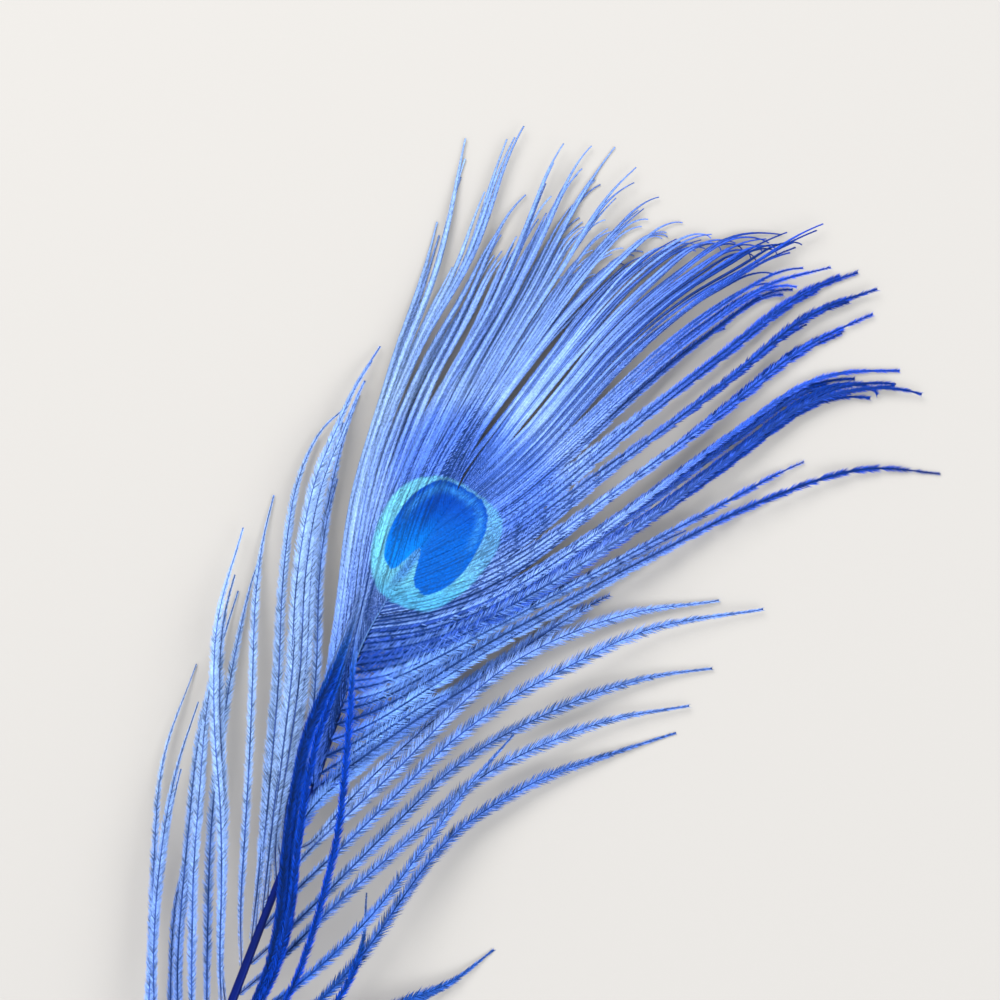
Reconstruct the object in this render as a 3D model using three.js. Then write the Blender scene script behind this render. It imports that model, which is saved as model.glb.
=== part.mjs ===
// A dyed peacock tail feather lying face up on a flat surface.
//
// The shaft (bare quill below, thinning to a thread in the eye) carries its barbs in two ways. Around the eye
// they hold together in tufts that spread into a crown; below the eye they are loose herls, each on its own.
// Every tuft and every herl is one flat strip here, from the shaft to its tip.
//
// Lengths are millimetres. Points are laid out on a flat drawing, x to the right and y up, on which the
// feather leans to the right. The last lines turn the drawing upright and put the origin under the middle of
// the feather.
import * as THREE from "three";

const { smoothstep, lerp, degToRad } = THREE.MathUtils;

const LEAN_DEG = 21; // how far the feather leans on the drawing

// Shaft
const QUILL_RADIUS = 1.55;
const SHAFT_TIP_RADIUS = 0.15;
const SHAFT_TAPER = 0.9; // 1 would be a straight cone
const CUT_END_SHARE = 0.6; // the quill draws in to this share of its radius at the cut end
const CUT_END_TAPER = 0.03; // over this share of the shaft's length
const SHAFT_ARCH = 7.5; // how far the middle of the shaft stands off the surface
const SHAFT_TIP_HEIGHT = 3.4;
const SHAFT_SIDES = 8;
const SHAFT_STEPS = 44;
const SHAFT_POINTS = [
  [20.5, -106], [25, -73], [31.5, -45], [40, -18], [52.4, 15], [61, 37],
  [67.4, 56], [72.4, 71], [76.4, 78.4], [84.2, 90.4], [92.6, 103.2],
];

// Strips
const CLEARANCE = 0.35; // between the shaft and the root of a strip
const SEAM = 0.22; // half the gap between two tufts
const HERL_WIDTH = 1.5;
const HERL_STEPS = 13;
const TUFT_STEPS = 16;
const ROOT_WIDTH = 0.5;
const TIP_WIDTH = 0.4;
const STRIP_THICKNESS = 0.5;
const TIP_THICKNESS = 0.3;
const LEFT = -1;
const RIGHT = 1;

const UP = new THREE.Vector3(0, 0, 1);
const flat = ([x, y]) => new THREE.Vector3(x, y, 0);
const curveThrough = (points) => new THREE.CatmullRomCurve3(points, false, "centripetal");

// ---- The shaft -------------------------------------------------------------------------------------------

const shaftLine = curveThrough(SHAFT_POINTS.map(flat));

// Radius at share t of the shaft's length, from the cut end to the tip in the eye.
function shaftRadius(t) {
  const cone = SHAFT_TIP_RADIUS * t + QUILL_RADIUS * (1 - t) ** SHAFT_TAPER;
  return cone * lerp(CUT_END_SHARE, 1, smoothstep(t, 0, CUT_END_TAPER));
}

// Height of the shaft's middle over the surface: it rests on its cut end and bows up before the eye.
function shaftHeight(t) {
  const resting = QUILL_RADIUS * CUT_END_SHARE;
  return resting + (SHAFT_TIP_HEIGHT - resting) * t + SHAFT_ARCH * Math.sin(Math.PI * t);
}

// Unit vector to the right of the way the curve runs at t.
function rightOf(curve, t) {
  const along = curve.getTangentAt(t);
  return new THREE.Vector3(along.y, -along.x, 0).normalize();
}

// Share of the shaft's length at which it reaches height y on the drawing.
function shaftShare(y) {
  let [low, high] = [0, 1];
  for (let i = 0; i < 30; i++) {
    const middle = (low + high) / 2;
    if (shaftLine.getPointAt(middle).y < y) low = middle;
    else high = middle;
  }
  return low;
}

// The point where a strip leaves the shaft's side at height y on the drawing.
function rootPoint(y, side) {
  const t = shaftShare(y);
  const out = rightOf(shaftLine, t).multiplyScalar(side * (shaftRadius(t) + CLEARANCE));
  return shaftLine.getPointAt(t).add(out);
}

// Moves each vertex of a geometry to place(x, y, z) and works its normals out afresh.
function reshape(geometry, place) {
  const position = geometry.getAttribute("position");
  const from = new THREE.Vector3();
  for (let i = 0; i < position.count; i++) {
    from.fromBufferAttribute(position, i);
    position.setXYZ(i, ...place(from.x, from.y, from.z).toArray());
  }
  geometry.computeVertexNormals();
  return geometry;
}

function shaftGeometry() {
  return reshape(new THREE.CylinderGeometry(1, 1, 1, SHAFT_SIDES, SHAFT_STEPS), (x, y, z) => {
    const t = y + 0.5;
    const at = shaftLine.getPointAt(t).addScaledVector(rightOf(shaftLine, t), x * shaftRadius(t));
    return at.setZ(shaftHeight(t) + z * shaftRadius(t));
  });
}

// ---- Strips ----------------------------------------------------------------------------------------------

// A strip from its root to its tip, between a left and a right edge, each a function of the share t of its
// length. Its height falls from the root's to the tip's, with a bow of its own on the way.
function stripGeometry({ leftEdge, rightEdge, rootHeight, tipHeight, bow, steps }) {
  return reshape(new THREE.BoxGeometry(1, 1, 1, 1, steps, 1), (x, y, z) => {
    const t = y + 0.5;
    const at = leftEdge(t).lerp(rightEdge(t), x + 0.5);
    const height = lerp(rootHeight, tipHeight, smoothstep(t, 0, 1)) + bow * Math.sin(Math.PI * t);
    const thickness = lerp(STRIP_THICKNESS, TIP_THICKNESS, t);
    return at.setZ(height + z * thickness);
  });
}

// The edge of a strip of width(t) about a curve, on the given side of it.
const offsetEdge = (curve, width, side) => (t) =>
  curve.getPointAt(t).addScaledVector(rightOf(curve, t), (side * width(t)) / 2);

// A herl's width: narrow at the root, full for most of its length, and drawn out to the tip.
function herlWidth(t) {
  const body = lerp(ROOT_WIDTH, HERL_WIDTH, smoothstep(t, 0, 0.16));
  return lerp(body, TIP_WIDTH, smoothstep(t, 0.55, 1));
}

// ---- Tufts around the eye --------------------------------------------------------------------------------
// In the order in which they fan out, from the outer left one over the crown to the outer right one. `root`
// is the height on the drawing at which the middle of the tuft leaves the shaft, `through` the line to its
// tip, `parts` the share of its length at which it parts from its neighbours and draws in, `tip` the tip's
// height.
const TUFTS = [
  { name: "left_1", side: LEFT, root: 47, parts: 0.5, tip: 0.15,
    through: [[67, 62], [69, 80], [72, 102], [79.6, 126], [87.6, 148], [92.6, 173]] },
  { name: "left_2", side: LEFT, root: 56, parts: 0.5, tip: 1.6,
    through: [[70, 72], [71.8, 90], [75.2, 108], [84, 130], [94.4, 149], [100, 165], [103.6, 176]] },
  { name: "left_3", side: LEFT, root: 65, parts: 0.6, tip: 0.6,
    through: [[73, 80], [75.6, 96], [83, 118], [92.6, 137], [99.6, 153], [104.4, 162.6]] },
  { name: "left_4", side: LEFT, root: 73, parts: 0.6, tip: 2.2,
    through: [[75.6, 85], [78.6, 98], [87.8, 120], [98, 139], [106, 158], [111.2, 172.6]] },
  { name: "left_5", side: LEFT, root: 78.6, parts: 0.6, tip: 1,
    through: [[78.8, 88], [81.8, 99.4], [92, 122], [103, 142], [112, 161], [117, 172.6]] },
  { name: "left_6", side: LEFT, root: 84, parts: 0.65, tip: 0.15,
    through: [[81.8, 91], [85, 102.4], [96, 124], [106.4, 142], [115.4, 160], [122.4, 171.8]] },
  { name: "left_7", side: LEFT, root: 89.4, parts: 0.65, tip: 1.8,
    through: [[85.4, 96.6], [88.8, 106.4], [100.4, 127.6], [111, 144.6], [119.4, 158], [127, 167.4]] },
  { name: "left_8", side: LEFT, root: 95, parts: 0.7, tip: 0.8,
    through: [[89.2, 101.6], [93, 110.6], [106, 131], [117, 147], [131, 163]] },
  { name: "left_9", side: LEFT, root: 100.4, parts: 0.7, tip: 0.15,
    through: [[93.4, 106.8], [97.6, 114.4], [112, 134.6], [123.6, 147.6], [136, 158.6]] },
  { name: "right_1", side: RIGHT, root: 100.8, parts: 0.7, tip: 1.4,
    through: [[97.4, 109], [104.8, 118.8], [120, 138.4], [130.6, 148.4], [142.6, 156]] },
  { name: "right_2", side: RIGHT, root: 97.4, parts: 0.65, tip: 0.5,
    through: [[96.8, 104.8], [106, 114.6], [122.4, 133.6], [134.4, 144.4], [145, 152], [157, 154.6]] },
  { name: "right_3", side: RIGHT, root: 93, parts: 0.65, tip: 2.4,
    through: [[95.6, 99.8], [106, 109], [124.6, 128.8], [138, 139.8], [151, 147.4], [164.6, 156.4]] },
  { name: "right_4", side: RIGHT, root: 88.8, parts: 0.6, tip: 1.2,
    through: [[94, 94.8], [105, 102.6], [126, 122.2], [140, 133.8], [153.4, 143], [166.6, 147]] },
  { name: "right_5", side: RIGHT, root: 85, parts: 0.55, tip: 0.15,
    through: [[92.6, 90], [105, 97.4], [129, 117], [145, 129.4], [159, 140], [172, 146.6]] },
  { name: "right_6", side: RIGHT, root: 81.4, parts: 0.55, tip: 1.6,
    through: [[91, 85.6], [104, 92.6], [130, 112.2], [147, 125.4], [161, 136.6], [175.6, 143.4]] },
  { name: "right_7", side: RIGHT, root: 78, parts: 0.5, tip: 0.7,
    through: [[89, 80.8], [103, 87], [130.6, 106.4], [145, 117.4], [160, 129.4], [175.2, 137.6]] },
  { name: "right_8", side: RIGHT, root: 74, parts: 0.75, tip: 0.15,
    through: [[86.6, 75.8], [100, 81], [126, 98.4], [146, 113.4], [163, 124.6], [180.6, 127.6]] },
  { name: "right_9", side: RIGHT, root: 69.4, parts: 0.75, tip: 1.4,
    through: [[83.6, 71.2], [98, 76.8], [126, 93.2], [146, 107], [164, 119], [185.6, 123.4]] },
  { name: "right_10", side: RIGHT, root: 63, parts: 0.6, tip: 0.5,
    through: [[78, 64.6], [98, 74.4], [114, 83.4], [131, 92.6], [148, 101.6], [160.8, 108.8]] },
  { name: "right_11", side: RIGHT, root: 54, parts: 0.6, tip: 0.15,
    through: [[76, 57.4], [98, 71], [114, 79.8], [131, 89.2], [151, 99.6], [172, 106.4], [189, 106]] },
  { name: "right_12", side: RIGHT, root: 38, parts: 0.6, tip: 1,
    through: [[66, 43], [74, 49.4], [88, 59.4], [103, 69.6], [114, 76.4], [122, 81.2]] },
];
const TUFT_BOW = 1.6;
const OUTER_HALF_WIDTH = 1.3; // of the first and the last tuft, on the side with no neighbour
const CLUMP_WIDTH = 2.2; // to which a tuft draws in past the point where it parts from its neighbours

const tuftLines = TUFTS.map(({ root, side, through }) =>
  curveThrough([rootPoint(root, side), ...through.map(flat)]),
);

// One edge of tuft i. Near the shaft it runs half way to the neighbour, less the seam. Past `parts` it draws
// in to the tuft's own line.
function tuftEdge(i, side) {
  const own = tuftLines[i];
  const next = tuftLines[i + side];
  const { parts } = TUFTS[i];
  return (t) => {
    const middle = own.getPointAt(t);
    const right = rightOf(own, t);
    const reach = next ? next.getPointAt(t).sub(middle).multiplyScalar(0.5)
      : right.clone().multiplyScalar(side * OUTER_HALF_WIDTH * smoothstep(t, -0.1, 0.2));
    const spread = Math.max(reach.length() - SEAM, 0.04);
    const together = reach.setLength(spread);
    const clump = lerp(CLUMP_WIDTH, TIP_WIDTH, smoothstep(t, parts, 1)) / 2;
    const apart = right.multiplyScalar(side * Math.min(clump, spread));
    return middle.add(together.lerp(apart, smoothstep(t, parts * 0.7, Math.min(parts + 0.25, 1))));
  };
}

function tuftMesh(i) {
  const { name, root, tip } = TUFTS[i];
  return namedMesh(`tuft_${name}`, stripGeometry({
    leftEdge: tuftEdge(i, LEFT),
    rightEdge: tuftEdge(i, RIGHT),
    rootHeight: shaftHeight(shaftShare(root)),
    tipHeight: tip,
    bow: TUFT_BOW,
    steps: TUFT_STEPS,
  }), vaneBlue);
}

// ---- Loose herls -----------------------------------------------------------------------------------------
// `root` is as for a tuft, `through` the line to the tip, `tip` the tip's height and `bow` how far the herl
// arches over the plain slope down to it.
const HERLS = [
  { name: "left_1", side: LEFT, root: -46, tip: 0.15, bow: 3,
    through: [[30, -26], [29.6, 0], [31, 28], [32.8, 48.8], [38.6, 67]] },
  { name: "left_2", side: LEFT, root: -37, tip: 3, bow: 5,
    through: [[32.6, -20], [31.8, 0], [33.4, 26], [36.2, 46], [39.8, 59.4]] },
  { name: "left_3", side: LEFT, root: -30, tip: 1, bow: 1,
    through: [[34.6, -14], [33.9, 0], [34.6, 16], [37, 30]] },
  { name: "left_4", side: LEFT, root: -23, tip: 0.15, bow: 2,
    through: [[36.4, -10], [36, 8], [38, 32], [40.2, 53], [44, 70], [47.4, 81.6]] },
  { name: "left_5", side: LEFT, root: -16, tip: 4, bow: 6,
    through: [[39, 0], [39.4, 20], [41, 42], [42, 60], [44, 74]] },
  { name: "left_6", side: LEFT, root: -10.6, tip: 0.4, bow: 1,
    through: [[41.8, 2], [42.2, 24], [43.4, 44], [46, 66], [49.4, 82], [51.4, 88]] },
  { name: "left_7", side: LEFT, root: -3, tip: 3.2, bow: 6,
    through: [[44.6, 8], [44.8, 24], [44.6, 40], [43.6, 58], [44.2, 76], [49, 94.4]] },
  { name: "left_8", side: LEFT, root: 7, tip: 0.15, bow: 2.4,
    through: [[48.6, 17], [49.4, 34], [50, 60], [51, 80], [52.8, 92], [55, 100.8]] },
  { name: "left_9", side: LEFT, root: 14, tip: 0.6, bow: 2,
    through: [[52.6, 26], [54.4, 42], [56, 62], [57, 84], [59.8, 104], [64, 114], [68.4, 118.6]] },
  { name: "left_10", side: LEFT, root: 20, tip: 2.4, bow: 4,
    through: [[55, 33], [57, 50], [58.6, 66], [59.9, 86], [63, 103], [67.6, 114.6], [71.2, 122.6],
      [76.4, 130.8]] },
  { name: "left_11", side: LEFT, root: 26, tip: 0.15, bow: 1.6,
    through: [[57.6, 39], [59.4, 52], [61.2, 68], [62.8, 84], [65.4, 100], [68.6, 111.6], [72.4, 121]] },
  { name: "left_12", side: LEFT, root: 32, tip: 2, bow: 3,
    through: [[60.4, 45], [62.8, 57], [64.2, 70], [64.9, 84], [66.4, 96], [68.2, 104]] },
  { name: "right_1", side: RIGHT, root: 24, tip: 0.15, bow: 2,
    through: [[63, 31.4], [71, 38.8], [80, 46.8], [90, 56], [104, 66.6], [126, 76.6], [144, 80.2]] },
  { name: "right_2", side: RIGHT, root: 15, tip: 1.6, bow: 3,
    through: [[60, 23], [70, 32.3], [80, 41.9], [90, 51.8], [100, 59.5], [112, 66.4], [130, 74.4],
      [153, 78]] },
  { name: "right_3", side: RIGHT, root: 8, tip: 0.15, bow: 2,
    through: [[58, 14.8], [70, 26], [80, 35.8], [90, 46.2], [100, 53.4], [116, 61], [130, 65.2],
      [142.6, 67]] },
  { name: "right_4", side: RIGHT, root: 2, tip: 0.8, bow: 2,
    through: [[56, 8.6], [66, 18.4], [80, 31.6], [88, 39.2], [96.4, 45.7], [107, 51], [122, 56.2],
      [138, 58.8]] },
  { name: "right_5", side: RIGHT, root: -6, tip: 6.5, bow: 4,
    through: [[58, 2.6], [68, 11], [75, 18.6], [80.6, 26], [85.4, 32.6], [92.3, 42], [102.6, 53.4]] },
  { name: "right_6", side: RIGHT, root: -14, tip: 0.15, bow: 1.6,
    through: [[58, -4.6], [66, 2], [74, 11], [80.5, 21], [86.5, 29.6], [93, 36], [108, 44.6], [122, 49.2],
      [135.4, 53.4]] },
  { name: "right_7", side: RIGHT, root: -26, tip: 5.5, bow: 7,
    through: [[50, -15.6], [62, -5.6], [69, 2.6], [72.8, 11.6], [73.6, 21.6]] },
  { name: "right_8", side: RIGHT, root: -31, tip: 0.15, bow: 2,
    through: [[46, -21.4], [60, -11], [80, -1], [90, 3], [98.6, 9.4]] },
];

// Herls that lie over the roots of the others and end high over the foot of the vane.
const OVERLYING = [
  { name: "over_1", side: RIGHT, root: -12, tip: 9.2, bow: 5.4,
    through: [[49, -4], [54, 5], [57.4, 17], [59.4, 34], [62.4, 52], [67.6, 66], [71, 76], [73.4, 86]] },
  { name: "over_2", side: RIGHT, root: -22, tip: 9, bow: 5.2,
    through: [[47, -12.6], [54, -4.6], [59, 4], [62.2, 13.5], [65, 24.5], [67.2, 35], [69.6, 57], [71, 70],
      [74.4, 84]] },
];

// The herls on the lowest stretch, evenly spaced along each side and shorter towards the bare quill: the
// heights at which the first and the last leave the shaft, their lengths, the angle a herl leaves the shaft
// at, and the angle it has opened by on the way to its tip.
const LOWEST = {
  [LEFT]: { count: 6, roots: [-53, -87], lengths: [34, 20], leavesDeg: 17, opensDeg: 14 },
  [RIGHT]: { count: 7, roots: [-37, -84], lengths: [58, 30], leavesDeg: 32, opensDeg: 24 },
};
const LOWEST_POINTS = 4;

function lowestHerl(i, side) {
  const { count, roots, lengths, leavesDeg, opensDeg } = LOWEST[side];
  const share = i / (count - 1);
  const root = lerp(...roots, share);
  const along = shaftLine.getTangentAt(shaftShare(root));
  const at = rootPoint(root, side);
  const through = [];
  for (let k = 0; k < LOWEST_POINTS; k++) {
    const turn = leavesDeg + (opensDeg * k) / (LOWEST_POINTS - 1);
    const step = along.clone().applyAxisAngle(UP, -side * degToRad(turn));
    at.addScaledVector(step, lerp(...lengths, share) / LOWEST_POINTS);
    through.push([at.x, at.y]);
  }
  const name = `low_${side === LEFT ? "left" : "right"}_${i + 1}`;
  return { name, side, root, through, tip: i % 2 ? 1.4 : 0.15, bow: 1.2 + 0.8 * (i % 3) };
}

function herlMesh({ name, side, root, through, tip, bow }) {
  const line = curveThrough([rootPoint(root, side), ...through.map(flat)]);
  return namedMesh(`herl_${name}`, stripGeometry({
    leftEdge: offsetEdge(line, herlWidth, LEFT),
    rightEdge: offsetEdge(line, herlWidth, RIGHT),
    rootHeight: shaftHeight(shaftShare(root)),
    tipHeight: tip,
    bow,
    steps: HERL_STEPS,
  }), herlBlue);
}

// ---- Materials, and the feather put together -------------------------------------------------------------

const dyed = (color) => new THREE.MeshStandardMaterial({ color, roughness: 0.55, metalness: 0 });
const shaftNavy = dyed(0x14206e);
const vaneBlue = dyed(0x5a80e0);
const herlBlue = dyed(0x3c62c8);

function namedMesh(name, geometry, material) {
  const mesh = new THREE.Mesh(geometry, material);
  mesh.name = name;
  return mesh;
}

const drawing = new THREE.Group();
drawing.add(namedMesh("shaft", shaftGeometry(), shaftNavy));
TUFTS.forEach((_, i) => drawing.add(tuftMesh(i)));
[...HERLS, ...OVERLYING].forEach((herl) => drawing.add(herlMesh(herl)));
[LEFT, RIGHT].forEach((side) => {
  for (let i = 0; i < LOWEST[side].count; i++) drawing.add(herlMesh(lowestHerl(i, side)));
});
drawing.rotation.z = degToRad(LEAN_DEG);

const feather = new THREE.Group();
feather.add(drawing);
feather.updateMatrixWorld(true);
const box = new THREE.Box3().setFromObject(feather, true);
const middle = box.getCenter(new THREE.Vector3());
drawing.position.set(-middle.x, -middle.y, -box.min.z);

export default feather;
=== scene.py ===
"""A dyed peacock tail feather, lying face up.

Every barb is a strand: a thin roofed ribbon (its ramus, with a wing on each side where it is zipped to its
neighbours) that carries two rows of barbules, each a slender closed spike. The barbs round the eye follow a
fan of guide lines, the loose herls below it have a line of their own.

Lengths are millimetres until a mesh is made. Points are laid out on a flat drawing, x to the right and y up,
on which the feather leans to the right by LEAN_DEG. placed() turns the drawing to where the frame has it.
"""

import math

import bpy
import numpy as np
from mathutils import Matrix, Vector


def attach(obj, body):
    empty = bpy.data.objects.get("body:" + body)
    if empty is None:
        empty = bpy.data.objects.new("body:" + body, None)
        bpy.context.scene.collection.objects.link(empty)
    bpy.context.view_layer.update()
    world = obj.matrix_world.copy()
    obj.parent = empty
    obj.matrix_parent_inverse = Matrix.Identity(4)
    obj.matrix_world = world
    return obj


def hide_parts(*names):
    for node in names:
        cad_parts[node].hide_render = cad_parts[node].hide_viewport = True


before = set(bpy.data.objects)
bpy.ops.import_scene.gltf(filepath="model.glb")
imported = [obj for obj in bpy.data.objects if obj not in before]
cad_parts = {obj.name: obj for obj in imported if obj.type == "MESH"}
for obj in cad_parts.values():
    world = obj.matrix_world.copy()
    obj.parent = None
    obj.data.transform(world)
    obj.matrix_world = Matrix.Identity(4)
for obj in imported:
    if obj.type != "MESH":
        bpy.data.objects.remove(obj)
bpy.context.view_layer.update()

rng = np.random.default_rng(7)
MM = 0.001
LEAN_DEG = 21

# ---- Shaft ----

QUILL_RADIUS = 1.55
SHAFT_TIP_RADIUS = 0.15
SHAFT_TAPER = 0.9
CUT_END_SHARE = 0.6
CUT_END_TAPER = 0.03
SHAFT_ARCH = 7.5
SHAFT_TIP_HEIGHT = 3.4
SHAFT_POINTS = [
    (20.5, -106), (25, -73), (31.5, -45), (40, -18), (52.4, 15), (61, 37),
    (67.4, 56), (72.4, 71), (76.4, 78.4), (84.2, 90.4), (92.6, 103.2),
]

# ---- Guide lines of the vane ----
# From the outer left edge over the crown to the outer right edge: the CAD node, the height on the drawing at
# which the tuft leaves the shaft, the share of its length at which its barbs part, the height of its tip over
# the surface, the length of its barbules past that point, how many barbs it has, and the line to its tip.

VANE = [
    ("tuft_left_1", 47, 0.5, 0.15, 0.9, 7,
     [(67, 62), (69, 80), (72, 102), (79.6, 126), (87.6, 148), (92.6, 173)]),
    ("tuft_left_2", 56, 0.5, 1.6, 0.85, 7,
     [(70, 72), (71.8, 90), (75.2, 108), (84, 130), (94.4, 149), (100, 165), (103.6, 176)]),
    ("tuft_left_3", 65, 0.6, 0.6, 0.8, 9,
     [(73, 80), (75.6, 96), (83, 118), (92.6, 137), (99.6, 153), (104.4, 162.6)]),
    ("tuft_left_4", 73, 0.6, 2.2, 0.75, 12,
     [(75.6, 85), (78.6, 98), (87.8, 120), (98, 139), (106, 158), (111.2, 172.6)]),
    ("tuft_left_5", 78.6, 0.6, 1, 0.65, 13,
     [(78.8, 88), (81.8, 99.4), (92, 122), (103, 142), (112, 161), (117, 172.6)]),
    ("tuft_left_6", 84, 0.65, 0.15, 0.6, 13,
     [(81.8, 91), (85, 102.4), (96, 124), (106.4, 142), (115.4, 160), (122.4, 171.8)]),
    ("tuft_left_7", 89.4, 0.65, 1.8, 0.6, 13,
     [(85.4, 96.6), (88.8, 106.4), (100.4, 127.6), (111, 144.6), (119.4, 158), (127, 167.4)]),
    ("tuft_left_8", 95, 0.7, 0.8, 0.6, 13,
     [(89.2, 101.6), (93, 110.6), (106, 131), (117, 147), (131, 163)]),
    ("tuft_left_9", 100.4, 0.7, 0.15, 0.55, 13,
     [(93.4, 106.8), (97.6, 114.4), (112, 134.6), (123.6, 147.6), (136, 158.6)]),
    ("tuft_right_1", 100.8, 0.7, 1.4, 0.5, 11,
     [(97.4, 109), (104.8, 118.8), (120, 138.4), (130.6, 148.4), (142.6, 156)]),
    ("tuft_right_2", 97.4, 0.65, 0.5, 0.5, 11,
     [(96.8, 104.8), (106, 114.6), (122.4, 133.6), (134.4, 144.4), (145, 152), (157, 154.6)]),
    ("tuft_right_3", 93, 0.65, 2.4, 0.55, 11,
     [(95.6, 99.8), (106, 109), (124.6, 128.8), (138, 139.8), (151, 147.4), (164.6, 156.4)]),
    ("tuft_right_4", 88.8, 0.6, 1.2, 1.1, 9,
     [(94, 94.8), (105, 102.6), (126, 122.2), (140, 133.8), (153.4, 143), (166.6, 147)]),
    ("tuft_right_5", 85, 0.55, 0.15, 1.4, 5,
     [(92.6, 90), (105, 97.4), (129, 117), (145, 129.4), (159, 140), (172, 146.6)]),
    ("tuft_right_6", 81.4, 0.55, 1.6, 1.4, 5,
     [(91, 85.6), (104, 92.6), (130, 112.2), (147, 125.4), (161, 136.6), (175.6, 143.4)]),
    ("tuft_right_7", 78, 0.5, 0.7, 1.4, 4,
     [(89, 80.8), (103, 87), (130.6, 106.4), (145, 117.4), (160, 129.4), (175.2, 137.6)]),
    ("tuft_right_8", 74, 0.75, 0.15, 1.2, 5,
     [(86.6, 75.8), (100, 81), (126, 98.4), (146, 113.4), (163, 124.6), (180.6, 127.6)]),
    ("tuft_right_9", 69.4, 0.75, 1.4, 1.3, 5,
     [(83.6, 71.2), (98, 76.8), (126, 93.2), (146, 107), (164, 119), (185.6, 123.4)]),
    ("tuft_right_10", 63, 0.6, 0.5, 1.5, 4,
     [(78, 64.6), (98, 74.4), (114, 83.4), (131, 92.6), (148, 101.6), (160.8, 108.8)]),
    ("tuft_right_11", 54, 0.6, 0.15, 1.6, 4,
     [(76, 57.4), (98, 71), (114, 79.8), (131, 89.2), (151, 99.6), (172, 106.4), (189, 106)]),
    ("tuft_right_12", 38, 0.6, 1, 2.2, 6,
     [(66, 43), (74, 49.4), (88, 59.4), (103, 69.6), (114, 76.4), (122, 81.2)]),
]
MIDLINE = 8.5  # on the scale of the guides, between the last left and the first right one
VANE_BOW = 1.6

# ---- Loose herls ----
# The CAD node, the side of the shaft (-1 left, 1 right), the height on the drawing at which it leaves the
# shaft, the height of its tip over the surface, its arch, its shade (0 pale to 1 deep), its companions and
# its line. A companion is a herl that runs beside it, by its distance to the right at the middle, the share
# of the length it reaches, and its lift.

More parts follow.
